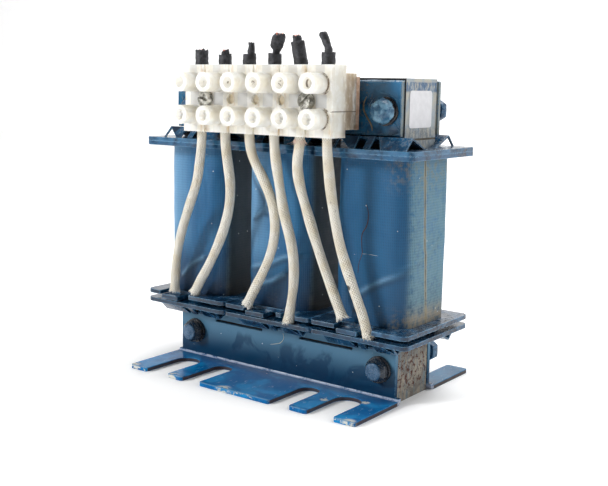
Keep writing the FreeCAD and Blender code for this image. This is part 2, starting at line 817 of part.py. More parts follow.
def bolt_sets():
    """Four bolts, each with a spring washer, two flat washers and a nut."""
    parts = []
    flats = []
    springs = []
    for name, (x, z) in BOLTS.items():
        parts.append(bolt("bolt_" + name, x, z))
        parts.append(nut("nut_" + name, x, z))
        flats.append(washer("front_washer_" + name, "washer_size", "washer_thickness",
                            x, "0 - wall_face", z))
        flats.append(washer("rear_washer_" + name, "washer_size", "washer_thickness",
                            x, "wall_face + washer_thickness", z))
        springs.append(split_washer("spring_washer_" + name, x,
                                    "0 - wall_face - washer_thickness", z))
    parts.append(group("flat_washers", flats))
    parts.append(group("spring_washers", springs))
    return parts


# Terminal strip on its board

def pole_holes(sketch, x, diameter, heights):
    for height in heights:
        add_circle(sketch, x, height, diameter)


def terminal_block():
    """Nylon strip: six tubes side by side, two screw barrels on each."""
    body = new_body("terminal_block")
    section = new_sketch(body, "strip_section", "YZ_Plane", "strip_left")
    waist_low = "strip_middle_height - waist_half"
    waist_high = "strip_middle_height + waist_half"
    base_low = "strip_bottom + strip_base_inset"
    base_high = "strip_top - strip_base_inset"
    front = "0 - strip_front"
    waist = "0 - strip_waist"
    body_back = "0 - strip_body_back"
    back = "0 - strip_back"
    add_polygon(section, [(front, "strip_bottom"), (body_back, "strip_bottom"),
                          (body_back, base_low), (back, base_low), (back, base_high),
                          (body_back, base_high), (body_back, "strip_top"),
                          (front, "strip_top"), (front, waist_high), (waist, waist_high),
                          (waist, waist_low), (front, waist_low)])
    extrude(body, section, "strip_length", "strip")
    barrels = new_sketch(body, "barrel_outline", "XZ_Plane", "strip_waist")
    pole_holes(barrels, "first_pole", "barrel_size", ["lower_row", "lower_row + barrel_spread"])
    barrel = extrude(body, barrels, "barrel_length + strip_front - strip_waist", "barrels")
    along_x(body, [barrel], "pole_pitch", POLES, "barrel_row")
    grooves = new_sketch(body, "groove_outline", "XZ_Plane", "strip_front")
    first_gap = "left_mount_screw"
    groove_left = first_gap + " - groove_width / 2"
    groove_right = first_gap + " + groove_width / 2"
    add_rectangle(grooves, groove_left, groove_right, "strip_bottom - groove_depth", waist_low)
    add_rectangle(grooves, groove_left, groove_right, waist_high, "strip_top + groove_depth")
    groove = cut(body, grooves, "2 * groove_depth", "groove")
    along_x(body, [groove], "pole_pitch", POLES - 1, "grooves")
    wells = new_sketch(body, "well_outline", "XZ_Plane", "wire_axis")
    pole_holes(wells, "first_pole", "screw_well", ["lower_row", "lower_row + barrel_spread"])
    well = body.newObject("PartDesign::Pocket", "wells")
    before = body.Shape.Volume
    well.Profile = wells
    well.setExpression("Length", with_sheet("barrel_mouth"))
    well.Reversed = True
    doc.recompute()
    check(well)
    if not well.Shape.Volume < before:
        raise RuntimeError("wells cut nothing")
    along_x(body, [well], "pole_pitch", POLES, "well_row")
    entries = new_sketch(body, "entry_outline", "XY_Plane", "strip_middle_height")
    add_circle(entries, "first_pole", "0 - wire_axis", "entry_size")
    entry = cut(body, entries, "2 * strip_height", "entry")
    along_x(body, [entry], "pole_pitch", POLES, "entry_row")
    rooms = new_sketch(body, "insert_room", "XY_Plane", "strip_middle_height")
    add_circle(rooms, "first_pole", "0 - wire_axis", "insert_size")
    room = cut(body, rooms, "insert_length", "room")
    along_x(body, [room], "pole_pitch", POLES, "room_row")
    mounts = new_sketch(body, "mount_outline", "XZ_Plane", "strip_body_back")
    add_circle(mounts, first_gap, "strip_middle_height", "mount_hole")
    mount = cut(body, mounts, "2 * strip_front", "mount_bore")
    along_x(body, [mount], "pole_pitch", POLES - 1, "mount_bores")
    return body


def terminal_inserts():
    """Six brass tubes inside the strip, each drilled for its two screws."""
    body = new_body("terminal_inserts")
    body.AllowCompound = True
    outline = new_sketch(body, "tube_outline", "XY_Plane", "strip_middle_height")
    add_circle(outline, "first_pole", "0 - wire_axis", "insert_size")
    add_circle(outline, "first_pole", "0 - wire_axis", "insert_bore")
    tube = extrude(body, outline, "insert_length", "tube", symmetric=True)
    taps = new_sketch(body, "tap_outline", "XZ_Plane", "wire_axis + insert_size / 2")
    pole_holes(taps, "first_pole", "clamp_screw_size", ["lower_row", "lower_row + barrel_spread"])
    tap = cut(body, taps, "insert_size", "taps")
    along_x(body, [tube, tap], "pole_pitch", POLES, "tubes")
    return body


def clamp_screws():
    """Twelve slotted screws; the lower row stands further out than the upper one."""
    body = new_body("clamp_screws")
    body.AllowCompound = True
    rows = (("lower", "lower_row", "clamp_screw_lower"),
            ("upper", "lower_row + barrel_spread", "clamp_screw_upper"))
    features = []
    for name, height, reach in rows:
        outline = new_sketch(body, name + "_outline", "XZ_Plane", reach)
        add_circle(outline, "first_pole", height, "clamp_screw_size")
        features.append(extrude(body, outline, "clamp_screw_length", name, reverse=True))
        slot = new_sketch(body, name + "_slot", "XZ_Plane", reach)
        add_rectangle(slot, "first_pole - clamp_screw_size", "first_pole + clamp_screw_size",
                      height + " - screw_slot_width / 2", height + " + screw_slot_width / 2")
        features.append(cut(body, slot, "2 * screw_slot_depth", name + "_slot_cut"))
    along_x(body, features, "pole_pitch", POLES, "screws")
    return body


def mount_screw(label, x, turn):
    """Slotted pan-head screw through the strip, the board and the front clamp plate."""
    head = doc.addObject("Part::Cylinder", label + "_head")
    head.setExpression("Radius", with_sheet("mount_head_size / 2"))
    head.setExpression("Height", with_sheet("mount_head_height"))
    shank = doc.addObject("Part::Cylinder", label + "_shank")
    length = "strip_waist - half_stack"
    shank.setExpression("Radius", with_sheet("mount_screw_size / 2"))
    shank.setExpression("Height", with_sheet(length))
    shank.setExpression("Placement.Base.z", with_sheet("0 - ( " + length + " )"))
    bevelled = doc.addObject("Part::Chamfer", label + "_pan")
    bevelled.Base = head
    doc.recompute()
    rim = [number for number, edge in enumerate(head.Shape.Edges, start=1)
           if abs(edge.BoundBox.ZMin - size("mount_head_height")) < NEAR]
    soft = size("mount_head_bevel")
    bevelled.Edges = [(number, soft, soft) for number in rim]
    joined = doc.addObject("Part::Fuse", label + "_solid")
    joined.Base = bevelled
    joined.Tool = shank
    saw = doc.addObject("Part::Box", label + "_saw")
    saw.setExpression("Length", with_sheet("2 * mount_head_size"))
    saw.setExpression("Width", with_sheet("mount_slot_width"))
    saw.setExpression("Height", with_sheet("mount_slot_depth"))
    turned = Rotation(Vector(0, 0, 1), size(turn))
    start = Vector(-size("mount_head_size"), -size("mount_slot_width") / 2,
                   size("mount_head_height") - size("mount_slot_depth"))
    saw.Placement = Placement(turned.multVec(start), turned)
    whole = doc.addObject("Part::Cut", label)
    whole.Label = label
    whole.Base = joined
    whole.Tool = saw
    stand(whole, x, "0 - strip_waist", "strip_middle_height")
    return whole


def terminal_board():
    """Insulating board behind the strip."""
    body = new_body("terminal_board")
    outline = new_sketch(body, "board_outline", "XZ_Plane", "board_back")
    add_rectangle(outline, "strip_left", "strip_left + strip_length",
                  "board_bottom", "board_bottom + board_height")
    extrude(body, outline, "board_thickness", "board")
    holes = new_sketch(body, "holes", "XZ_Plane", "board_back")
    for side in ("left_mount_screw", "right_mount_screw"):
        add_circle(holes, side, "strip_middle_height", "mount_hole")
    cut(body, holes, "4 * board_thickness", "bores")
    return body


def board_spacers():
    """Two bushes that hold the board off the front clamp plate."""
    body = new_body("board_spacers")
    body.AllowCompound = True
    outline = new_sketch(body, "bush_outline", "XZ_Plane", "wall_face")
    add_circle(outline, "left_mount_screw", "strip_middle_height", "spacer_size")
    add_circle(outline, "left_mount_screw", "strip_middle_height", "mount_hole")
    bush = extrude(body, outline, "board_back - wall_face", "bush")
    along_x(body, [bush], "mount_screw_span", 2, "bushes")
    return body


# Leads and cut cables, all of them round sections carried along a bent centre line

SHARE = 0.45
VOLUME_SLACK = 0.001


def centre_line(points, name):
    """Straight runs joined by tangent arcs, each as large as its two runs allow."""
    edges = []
    start = points[0]
    radii = []
    for before, here, after in zip(points, points[1:], points[2:]):
        inward = (before - here).normalize()
        onward = (after - here).normalize()
        shorter = min(before.distanceToPoint(here), here.distanceToPoint(after))
        turn = math.pi - inward.getAngle(onward)
        reach = SHARE * shorter
        radius = reach / math.tan(turn / 2)
        radii.append(radius)
        first = here + inward * reach
        last = here + onward * reach
        middle_way = (inward + onward).normalize()
        middle = here + middle_way * (radius / math.cos(turn / 2) - radius)
        edges.append(Part.LineSegment(start, first).toShape())
        edges.append(Part.Arc(first, middle, last).toShape())
        start = last
    edges.append(Part.LineSegment(start, points[-1]).toShape())
    wire = Part.Wire(edges)
    text = ", ".join("%.0f" % radius for radius in radii)
    print("%s: %.1f mm long, bend radii %s mm" % (name, wire.Length, text or "none"))
    return wire


def section_run(edge, diameter, bore):
    """The round section carried along one straight run or one arc."""
    start = edge.valueAt(edge.FirstParameter)
    facing = edge.tangentAt(edge.FirstParameter)
    disc = Part.Face(Part.Wire(Part.Circle(start, facing, diameter / 2).toShape()))
    if bore:
        hole = Part.Face(Part.Wire(Part.Circle(start, facing, bore / 2).toShape()))
        disc = disc.cut(hole).Faces[0]
    if edge.Curve.TypeId == "Part::GeomLine":
        return disc.extrude(edge.valueAt(edge.LastParameter) - start)
    arc = edge.Curve
    axis = (start - arc.Center).cross(facing)
    angle = math.degrees(edge.LastParameter - edge.FirstParameter)
    return disc.revolve(arc.Center, axis, abs(angle))


def rod(wire, diameter, bore=0):
    """A bar or tube along the centre line, its volume compared with its length."""
    runs = [section_run(edge, diameter, bore) for edge in wire.OrderedEdges]
    swept = runs[0]
    if len(runs) > 1:
        swept = swept.fuse(runs[1:])
    expected = math.pi * (diameter ** 2 - bore ** 2) / 4 * wire.Length
    if abs(swept.Volume - expected) > VOLUME_SLACK * expected or len(swept.Solids) != 1:
        raise RuntimeError("a swept tube has the wrong volume")
    return swept.Solids[0]


def bent_part(label, shape):
    item = doc.addObject("Part::Feature", label)
    item.Label = label
    item.Shape = shape
    return item


def pole_place(number):
    """X of a pole's wire axis, counted from the left."""
    return size("first_pole") + (number - 1) * size("pole_pitch")


# Each lead's bends below its terminal, from the strip down to its winding:
# X, distance in front of the core's middle, and height
LEAD_ROUTES = {
    1: [(-34.0, 33.0, 102.0), (-37.2, 31.4, 91.0), (-44.4, 29.5, 78.5), (-51.0, 27.8, 66.0),
        (-55.4, 26.3, 54.5), (-58.0, 25.1, 44.0), (-59.2, 24.4, 35.4)],
    2: [(-17.4, 33.0, 102.0), (-16.6, 31.6, 92.0), (-18.2, 30.2, 81.5), (-22.6, 28.8, 70.5),
        (-28.9, 27.4, 59.5), (-36.0, 26.2, 49.0), (-41.8, 25.3, 41.6), (-45.0, 24.9, 36.2)],
    3: [(-2.2, 33.1, 103.3), (3.4, 32.0, 94.2), (7.6, 30.8, 84.0), (8.0, 29.5, 73.0),
        (4.8, 28.2, 62.0), (-1.6, 26.8, 51.0), (-7.4, 25.8, 42.4), (-11.6, 25.2, 35.4)],
    4: [(10.8, 33.1, 102.0), (12.0, 32.0, 91.5), (13.4, 30.7, 80.5), (16.2, 29.3, 69.5),
        (17.4, 28.0, 58.5), (16.4, 26.9, 47.5), (14.4, 26.1, 39.0), (12.8, 25.6, 31.2)],
    5: [(21.8, 33.1, 103.2), (22.6, 32.1, 94.0), (25.8, 30.8, 83.0), (29.2, 29.4, 71.5),
        (33.2, 28.0, 59.5), (37.6, 26.6, 48.0), (41.8, 25.6, 37.6)],
    6: [(38.4, 33.1, 102.0), (39.1, 32.0, 91.5), (40.5, 30.7, 80.5), (42.4, 29.3, 69.0),
        (46.2, 28.0, 57.5), (50.2, 26.7, 46.5), (53.2, 25.9, 38.6), (55.2, 25.5, 31.2)],
}


def lead(number):
    """Sleeved lead from a terminal's lower entry to the edge of its bobbin."""
    x = pole_place(number)
    y = -size("wire_axis")
    points = [Vector(x, y, size("insert_bottom")),
              Vector(x, y, size("strip_bottom") - size("lead_drop"))]
    points += [Vector(across, -forward, up) for across, forward, up in LEAD_ROUTES[number]]
    name = "lead_%d" % number
    return bent_part(name, rod(centre_line(points, name), size("lead_size")))


# Each cut cable on top: how far its black sheath and its core stand out of the strip,
# the lean of the sheath and the further lean of the core's tip, in degrees to the left
CABLES = {
    1: (6.2, 6.9, 0.0, 0.0),
    2: (4.3, 6.6, 0.0, 0.0),
    3: (4.4, 9.2, 0.0, 0.0),
    4: (4.5, 12.6, 0.0, 0.0),
    5: (9.0, 11.7, 11.0, 0.0),
    6: (5.0, 13.0, 0.0, 24.0),
}
LEAN_START = 1.2


def cut_cable(number):
    """Stub of a cut cable: a black sheath on the strip, its core down in the terminal."""
    sheath_length, core_length, lean, tip_lean = CABLES[number]
    x = pole_place(number)
    y = -size("wire_axis")
    top = size("strip_top")
    mouth = Vector(x, y, top)
    seat = Vector(x, y, size("cable_seat"))
    leaning = Vector(-math.sin(math.radians(lean)), 0, math.cos(math.radians(lean)))
    bend = mouth + Vector(0, 0, LEAN_START)
    end = bend + leaning * (core_length - LEAN_START)
    name = "cable_sheath_%d" % number
    core_name = "cable_core_%d" % number
    if lean:
        sheath_end = bend + leaning * (sheath_length - LEAN_START)
        sheath_line = centre_line([mouth, bend, sheath_end], name)
        core_line = Part.Wire([Part.LineSegment(seat, mouth).toShape()]
                              + centre_line([mouth, bend, end], core_name).Edges)
    else:
        sheath_line = Part.Wire(Part.LineSegment(mouth, mouth + leaning * sheath_length).toShape())
        core_line = Part.Wire(Part.LineSegment(seat, end).toShape())
    if tip_lean:
        turn = math.radians(tip_lean)
        free = (core_length - sheath_length) / 2
        knee = mouth + leaning * (sheath_length + free)
        tip = knee + Vector(-math.sin(turn), 0, math.cos(turn)) * free
        core_line = centre_line([seat, knee, tip], core_name)
    sheath = rod(sheath_line, size("sheath_size"), size("sheath_bore"))
    core = rod(core_line, size("core_size"))
    return [bent_part(name, sheath), bent_part(core_name, core)]


def blank_label():
    """Bare white sticker on the right end of the upper yoke."""
    body = new_body("blank_label")
    outline = new_sketch(body, "sticker_outline", "YZ_Plane", "core_width / 2")
    middle = "sticker_shift"
    low = "top_yoke_base + sticker_lift"
    add_rectangle(outline, middle + " - sticker_length / 2", middle + " + sticker_length / 2",
                  low, low + " + sticker_height")
    extrude(body, outline, "sticker_thickness", "sticker")
    face = size("core_width") / 2 + size("sticker_thickness") / 2
    round_edges(body, lambda edge: at(edge, x=face), "sticker_corner", "sticker_corners")
    return body


def build():
    """Every piece of the reactor."""
    parts = [core_e_stack(), core_i_stack(), gap_spacers()]
    columns = {"left": "0 - limb_pitch", "centre": "0", "right": "limb_pitch"}
    winding = ("winding_width", "winding_depth", "winding_corner")
    wrap = ("wrap_width", "wrap_depth", "wrap_corner")
    tube = ("tube_outer_width", "tube_outer_depth", "")
    for side, place in columns.items():
        parts.append(bobbin("bobbin_" + side, place, "notch_shift_" + side, side == "centre"))
        parts.append(end_plate("end_plate_top_" + side, place, "bobbin_top",
                               "top_plate_thickness", "", 0))
        parts.append(end_plate("end_plate_bottom_" + side, place,
                               "bobbin_bottom - bottom_plate_gap",
                               "bottom_plate_thickness", "bottom_plate_gap", 180))
        parts.append(ring("winding_" + side, place, winding, tube, "wrap_play",
                          "winding_height - 2 * wrap_play"))
        parts.append(ring("wrap_" + side, place, wrap, winding, "0", "winding_height"))
    parts += [bracket("bracket_front", 0), bracket("bracket_rear", 180)]
    parts += [clamp_plate("clamp_plate_front", 0, "clamp_shift", True),
              clamp_plate("clamp_plate_rear", 180, "0", False)]
    parts += bolt_sets()
    parts += [terminal_board(), board_spacers(), terminal_block(), terminal_inserts(),
              clamp_screws(),
              mount_screw("mount_screw_left", "left_mount_screw", "mount_slot_turn_left"),
              mount_screw("mount_screw_right", "right_mount_screw", "mount_slot_turn_right")]
    for number in LEAD_ROUTES:
        parts.append(lead(number))
    for number in CABLES:
        parts += cut_cable(number)
    parts.append(blank_label())
    return parts


reactor = build()
doc.recompute()
for item in doc.Objects:
    if "Invalid" in item.State or "Error" in item.State:
        raise RuntimeError("%s failed: %s" % (item.Label, item.State))
os.makedirs("parts", exist_ok=True)
for item in reactor:
    check(item)
for item in reactor:
    item.Shape.exportStep("parts/%s.step" % item.Label)
print("%d nodes written" % len(reactor))
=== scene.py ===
# %% [markdown]
# # A three-phase line reactor, dressed around its imported solids
#
# The object is three taped coils on a laminated core, with two folded steel feet, sprung end
# plates and a nylon terminal strip, all dipped in blue varnish. The imported solids give every
# place and size, so each cell below reads from them where a piece is and adds what a solid
# lacks: rounded edges, creased tape, frayed sleeves, drips, rust and dust.

import math

import bmesh
import bpy
import numpy as np
from mathutils import Matrix, Vector


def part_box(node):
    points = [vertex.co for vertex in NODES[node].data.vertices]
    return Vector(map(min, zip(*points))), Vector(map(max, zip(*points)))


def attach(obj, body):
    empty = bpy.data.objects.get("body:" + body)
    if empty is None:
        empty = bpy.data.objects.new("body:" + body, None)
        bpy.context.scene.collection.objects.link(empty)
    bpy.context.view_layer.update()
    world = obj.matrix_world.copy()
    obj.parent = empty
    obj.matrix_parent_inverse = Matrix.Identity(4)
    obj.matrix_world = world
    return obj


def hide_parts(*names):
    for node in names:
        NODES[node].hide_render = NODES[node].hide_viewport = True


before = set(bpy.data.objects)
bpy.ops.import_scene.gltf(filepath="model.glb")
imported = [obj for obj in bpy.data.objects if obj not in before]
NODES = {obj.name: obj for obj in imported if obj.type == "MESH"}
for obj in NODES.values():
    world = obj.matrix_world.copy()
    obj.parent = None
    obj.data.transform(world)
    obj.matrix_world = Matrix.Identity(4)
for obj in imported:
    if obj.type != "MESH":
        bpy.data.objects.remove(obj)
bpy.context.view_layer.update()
MM = 0.001


def box_mm(node):
    """The node's lowest and highest corners, in millimetres."""
    return np.array(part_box(node)) / MM


# %% [markdown]
# ## The camera
#
# The photograph was taken from the right of the front and a little above. The camera could be
# aimed at the object by eye, but a fitted place, heading and lens put every edge where the
# photograph has it, so these numbers come from a fit to the straight edges of the core.

# %% Camera
CAMERA_PLACE = (0.26714, -0.35690, 0.13521)
CAMERA_HEADING = math.radians(36.634)
CAMERA_DIP = math.radians(9.291)
CAMERA_ROLL = math.radians(0.925)
PHOTO_WIDTH = 608
FOCAL_PIXELS = 955.45
SENSOR_WIDTH = 36.0
NEAREST_SEEN = 0.01


def put_object(name, data):
    """An object that holds the data, in the scene."""
    made = bpy.data.objects.new(name, data)
    bpy.context.scene.collection.objects.link(made)
    return made


def aim_camera():
    """The view axis from heading and dip, and the camera's right side turned by the roll."""
    view = Vector((-math.sin(CAMERA_HEADING) * math.cos(CAMERA_DIP),
                   math.cos(CAMERA_HEADING) * math.cos(CAMERA_DIP), -math.sin(CAMERA_DIP)))
    level = Vector((math.cos(CAMERA_HEADING), math.sin(CAMERA_HEADING), 0))
    upright = level.cross(view)
    right = level * math.cos(CAMERA_ROLL) + upright * math.sin(CAMERA_ROLL)
    above = upright * math.cos(CAMERA_ROLL) - level * math.sin(CAMERA_ROLL)
    data = bpy.data.cameras.new("photo_camera")
    data.sensor_width = SENSOR_WIDTH
    data.lens = FOCAL_PIXELS / PHOTO_WIDTH * SENSOR_WIDTH
    data.clip_start = NEAREST_SEEN
    camera = put_object("photo_camera", data)
    turn = Matrix((right, above, -view)).transposed().to_4x4()
    camera.matrix_world = Matrix.Translation(CAMERA_PLACE) @ turn
    bpy.context.scene.camera = camera
    return camera


camera = aim_camera()
print("lens", round(camera.data.lens, 2), "mm")

# %% [markdown]
# ## Surfaces from arrays
#
# Most new pieces are a grid of points, worked out with numpy as one array: rows along the
# piece, columns around it. One helper joins the grid into quads, closes it around, and shuts
# its ends with a fan, so a piece is never left open.

# %% Grid helper


def put_mesh(name, points, faces, finish, uv=None, smooth=True):
    """A mesh object from arrays; uv holds one pair for each face corner, in millimetres."""
    mesh = bpy.data.meshes.new(name)
    mesh.from_pydata(np.asarray(points, float).tolist(), [], [list(face) for face in faces])
    mesh.update()
    if uv is not None:
        layer = mesh.uv_layers.new(name="UVMap")
        layer.data.foreach_set("uv", np.asarray(uv, float).ravel())
    mesh.shade_smooth() if smooth else mesh.shade_flat()
    mesh.materials.append(finish)
    piece = put_object(name, mesh)
    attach(piece, "root")
    return piece


def grid_faces(rows, columns, closed_rows=False, first=0):
    """Quads of a grid whose columns close on themselves, and its rows too where asked."""
    row, column = np.meshgrid(np.arange(rows if closed_rows else rows - 1),
                              np.arange(columns), indexing="ij")
    beyond = (row + 1) % rows
    beside = (column + 1) % columns
    quads = np.stack([row * columns + column, row * columns + beside,
                      beyond * columns + beside, beyond * columns + column], axis=-1)
    return quads.reshape(-1, 4) + first


def closed_faces(rows, columns):
    """A tube's quads and a fan over each end; the two poles follow the wall's own points."""
    column = np.arange(columns)
    beside = (column + 1) % columns
    last = (rows - 1) * columns
    first_pole, last_pole = (np.full(columns, rows * columns + end) for end in (0, 1))
    first_fan = np.stack([beside, column, first_pole], axis=1)
    last_fan = np.stack([last + column, last + beside, last_pole], axis=1)
    return grid_faces(rows, columns).tolist() + first_fan.tolist() + last_fan.tolist()


def grid_uv(around, along):
    """Corner coordinates of the quads: distance around the piece, then distance along it."""
    rows, columns = around.shape[0] - 1, around.shape[1] - 1
    row, column = np.meshgrid(np.arange(rows), np.arange(columns), indexing="ij")
    corners = [(row, column), (row, column + 1), (row + 1, column + 1), (row + 1, column)]
    pairs = [np.stack([around[r, c], along[r, c]], axis=-1) for r, c in corners]
    return np.stack(pairs, axis=2).reshape(-1, 2)


print("a closed tube of 2 rings and 4 columns has", len(closed_faces(2, 4)), "faces")

# %% [markdown]
# ## Outlines, lines and unevenness
#
# A coil or a plate is a rounded rectangle seen from its end, and a lead or a drip is a tube
# around a line. Both need directions that point outwards. Nothing on the real object is even,
# so a sum of a few random waves gives each surface a soft swell that is the same in every run.

# %% Outline, line and noise helpers
CORNER_STEPS = 12
FLAT_STEPS = 44
NOISE_WAVES = 8


def rounded_outline(half_width, half_depth, corner):
    """Points and normals around a rounded rectangle, anticlockwise from the right side."""
    turns = np.radians(np.arange(4) * 90)[:, None] + np.linspace(0, math.pi / 2, CORNER_STEPS)
    normals = np.stack([np.cos(turns), np.sin(turns)], axis=-1)
    signs = np.array([(1, 1), (-1, 1), (-1, -1), (1, -1)])
    centres = signs * (np.array([half_width, half_depth]) - corner)
    arcs = centres[:, None] + corner * normals
    ahead = np.roll(arcs[:, 0], -1, axis=0)
    share = np.linspace(0, 1, FLAT_STEPS + 1)[1:-1, None]
    flats = arcs[:, -1][:, None] + share * (ahead - arcs[:, -1])[:, None]
    flat_normals = np.repeat(normals[:, -1][:, None], FLAT_STEPS - 1, axis=1)
    points = np.concatenate([arcs, flats], axis=1).reshape(-1, 2)
    return points, np.concatenate([normals, flat_normals], axis=1).reshape(-1, 2)


def smooth_noise(points, size, seed):
    """A soft random field: a sum of waves with random headings, each about size long."""
    random = np.random.default_rng(seed)
    total = np.zeros(points.shape[:-1])
    for _ in range(NOISE_WAVES):
        heading = random.normal(size=3)
        heading *= 2 * math.pi / size / np.linalg.norm(heading) * random.uniform(0.6, 1.5)
        total += np.sin(points @ heading + random.uniform(0, 2 * math.pi))
    return total / math.sqrt(NOISE_WAVES)


FRONT = np.array([0.0, -1.0, 0.0])


def full_turn(columns):
    """Angles at even steps around a circle, the first at nought."""
    return np.linspace(0, 2 * math.pi, columns, endpoint=False)


def distances(points):
    """How far along its line each point lies: the sum of the steps up to it."""
    steps = np.linalg.norm(np.diff(points, axis=0), axis=1)
    return np.concatenate([[0], np.cumsum(steps)])


def line_frames(line):
    """Two directions square to the line at each point, the first as near the front as can be."""
    along = np.gradient(line, axis=0)
    along /= np.linalg.norm(along, axis=1)[:, None]
    first = FRONT - (along @ FRONT)[:, None] * along
    first /= np.linalg.norm(first, axis=1)[:, None]
    return first, np.cross(along, first)


def ring_around(first, second, turn):
    """Cosine of each angle along the first direction plus its sine along the second."""
    return (np.cos(turn)[None, :, None] * first[:, None]
            + np.sin(turn)[None, :, None] * second[:, None])


SAMPLE_OUTLINE, _ = rounded_outline(10.0, 5.0, 2.0)
print("a rounded outline has", len(SAMPLE_OUTLINE), "points")

# %% [markdown]
# ## A recipe for finishes
#
# Every finish is a node tree that reads the object's own coordinates, turned into
# millimetres, so a pattern's size can be written as a real size. A small class keeps the
# recipes short: each method adds one node and gives back its output.

# %% Finish recipes


class Recipe:
    """A material under construction, with its patterns in millimetres."""

    def __init__(self, name):
        self.material = bpy.data.materials.new(name)
        self.material.use_nodes = True
        self.tree = self.material.node_tree
        self.shader = self.tree.nodes["Principled BSDF"]

    def node(self, kind, inputs=(), **settings):
        """A new node with its settings made and its inputs fed."""
        made = self.tree.nodes.new(kind)
        for name, value in settings.items():
            setattr(made, name, value)
        for key, value in dict(inputs).items():
            self.feed(made.inputs[key], value)
        return made

    def feed(self, socket, value):
        """Link the socket to another node's output, or set it to a plain value."""
        if isinstance(value, bpy.types.NodeSocket):
            self.tree.links.new(value, socket)
        elif isinstance(value, tuple) and len(value) == 3 and socket.type == "RGBA":
            socket.default_value = (*value, 1.0)
        else:
            socket.default_value = value

    def place(self, source="Object", stretch=(1.0, 1.0, 1.0), turn=(0.0, 0.0, 0.0)):
        """Object coordinates in millimetres, or the piece's own map, stretched and turned."""
        coordinates = self.node("ShaderNodeTexCoord")
        per_metre = 1.0 if source == "UV" else 1 / MM
        scale = tuple(per_metre * share for share in stretch)
        mapping = self.node("ShaderNodeMapping", {"Vector": coordinates.outputs[source],
                                                  "Scale": scale, "Rotation": turn})
        return mapping.outputs[0]

    def axes(self, place):
        """The three coordinates of a place, one by one."""
        return self.node("ShaderNodeSeparateXYZ", {0: place}).outputs

    def noise(self, place, size, detail=3.0, rough=0.55, warp=0.0):
        """A cloudy pattern between nought and one whose blotches are about size long."""
        made = self.node("ShaderNodeTexNoise", {"Vector": place, "Scale": 1 / size,
                                                "Detail": detail, "Roughness": rough,
                                                "Distortion": warp})
        return made.outputs[0]

    def cells(self, place, size):
        """Distance to the nearest of scattered dots that lie about size apart."""
        made = self.node("ShaderNodeTexVoronoi", {"Vector": place, "Scale": 1 / size})
        return made.outputs["Distance"]

    def edges(self, reach):
        """One along the piece's edges, where a rounded normal leaves the true one."""
        rounded = self.node("ShaderNodeBevel", {"Radius": reach * MM}, samples=4)
        true = self.node("ShaderNodeNewGeometry")
        made = self.node("ShaderNodeVectorMath", {0: rounded.outputs[0],
                                                  1: true.outputs["True Normal"]},
                         operation="DOT_PRODUCT")
        return self.fade(made.outputs["Value"], 0.985, 0.93)

    def near(self, place, point, reach):
        """One at the point and nothing from reach millimetres on."""
        made = self.node("ShaderNodeVectorMath", {0: place, 1: point}, operation="DISTANCE")
        return self.fade(made.outputs["Value"], reach, 0.4 * reach)

    def sum(self, operation, *values, clamp=False):
        """One step of arithmetic on numbers or outputs."""
        inputs = {index: value for index, value in enumerate(values)}
        return self.node("ShaderNodeMath", inputs, operation=operation,
                         use_clamp=clamp).outputs[0]

    def fade(self, value, start, end, low=0.0, high=1.0):
        """low up to start, high from end on, and a soft step between them."""
        made = self.node("ShaderNodeMapRange",
                         {"Value": value, "From Min": start, "From Max": end, "To Min": low,
                          "To Max": high}, interpolation_type="SMOOTHSTEP")
        return made.outputs[0]

    def off(self, value, middle=None):
        """How far a value is from the middle, without its sign."""
        if middle is not None:
            value = self.sum("SUBTRACT", value, middle)
        return self.sum("ABSOLUTE", value)

    def span(self, one, other):
        """The length of a slanting line: the root of the two squares' sum."""
        squares = [self.sum("MULTIPLY", value, value) for value in (one, other)]
        return self.sum("SQRT", self.sum("ADD", *squares))

    def wave(self, value, length):
        """A sine that comes round once in each length."""
        return self.sum("SINE", self.sum("MULTIPLY", value, 2 * math.pi / length))

    def both(self, *masks):
        """Only where every mask is: their product."""
        total = masks[0]
        for mask in masks[1:]:
            total = self.sum("MULTIPLY", total, mask)
        return total

    def either(self, *masks):
        """Wherever any mask is: the largest of them."""
        total = masks[0]
        for mask in masks[1:]:
            total = self.sum("MAXIMUM", total, mask)
        return total

    def paint(self, under, over, mask, strength=None):
        """The over colour where the mask is one, thinned to the strength if one is given."""
        if strength is not None:
            mask = self.sum("MULTIPLY", mask, strength)
        mixed = self.node("ShaderNodeMix", data_type="RGBA")
        self.feed(mixed.inputs[0], mask)
        self.feed(mixed.inputs[6], under)
        self.feed(mixed.inputs[7], over)
        return mixed.outputs[2]

    def level(self, under, over, mask):
        """A number that goes from under to over as the mask rises."""
        return self.node("ShaderNodeMapRange", {"Value": mask, "To Min": under,
                                                "To Max": over}).outputs[0]

    def bump(self, height, depth, strength=1.0, before=None):
        """Relief of the given depth in millimetres."""
        inputs = {"Height": height, "Distance": depth * MM, "Strength": strength}
        if before is not None:
            inputs["Normal"] = before
        return self.node("ShaderNodeBump", inputs).outputs[0]

    def finish(self, **sockets):
        """Feed the shader, whose sockets are named with _ for each space."""
        for name, value in sockets.items():
            self.feed(self.shader.inputs[name.replace("_", " ")], value)
        return self.material


def srgb(red, green, blue):
    """A colour as a picture program shows it, 0 to 255, turned into linear light."""
    shares = [value / 255 for value in (red, green, blue)]
    return tuple(s / 12.92 if s <= 0.04045 else ((s + 0.055) / 1.055) ** 2.4 for s in shares)


def tell(*finishes):
    """Say how many nodes each finish took."""
    for finish in finishes:
        print("finish", finish.name, "with", len(finish.node_tree.nodes), "nodes")


print("middle grey is", round(srgb(128, 128, 128)[0], 3), "in linear light")
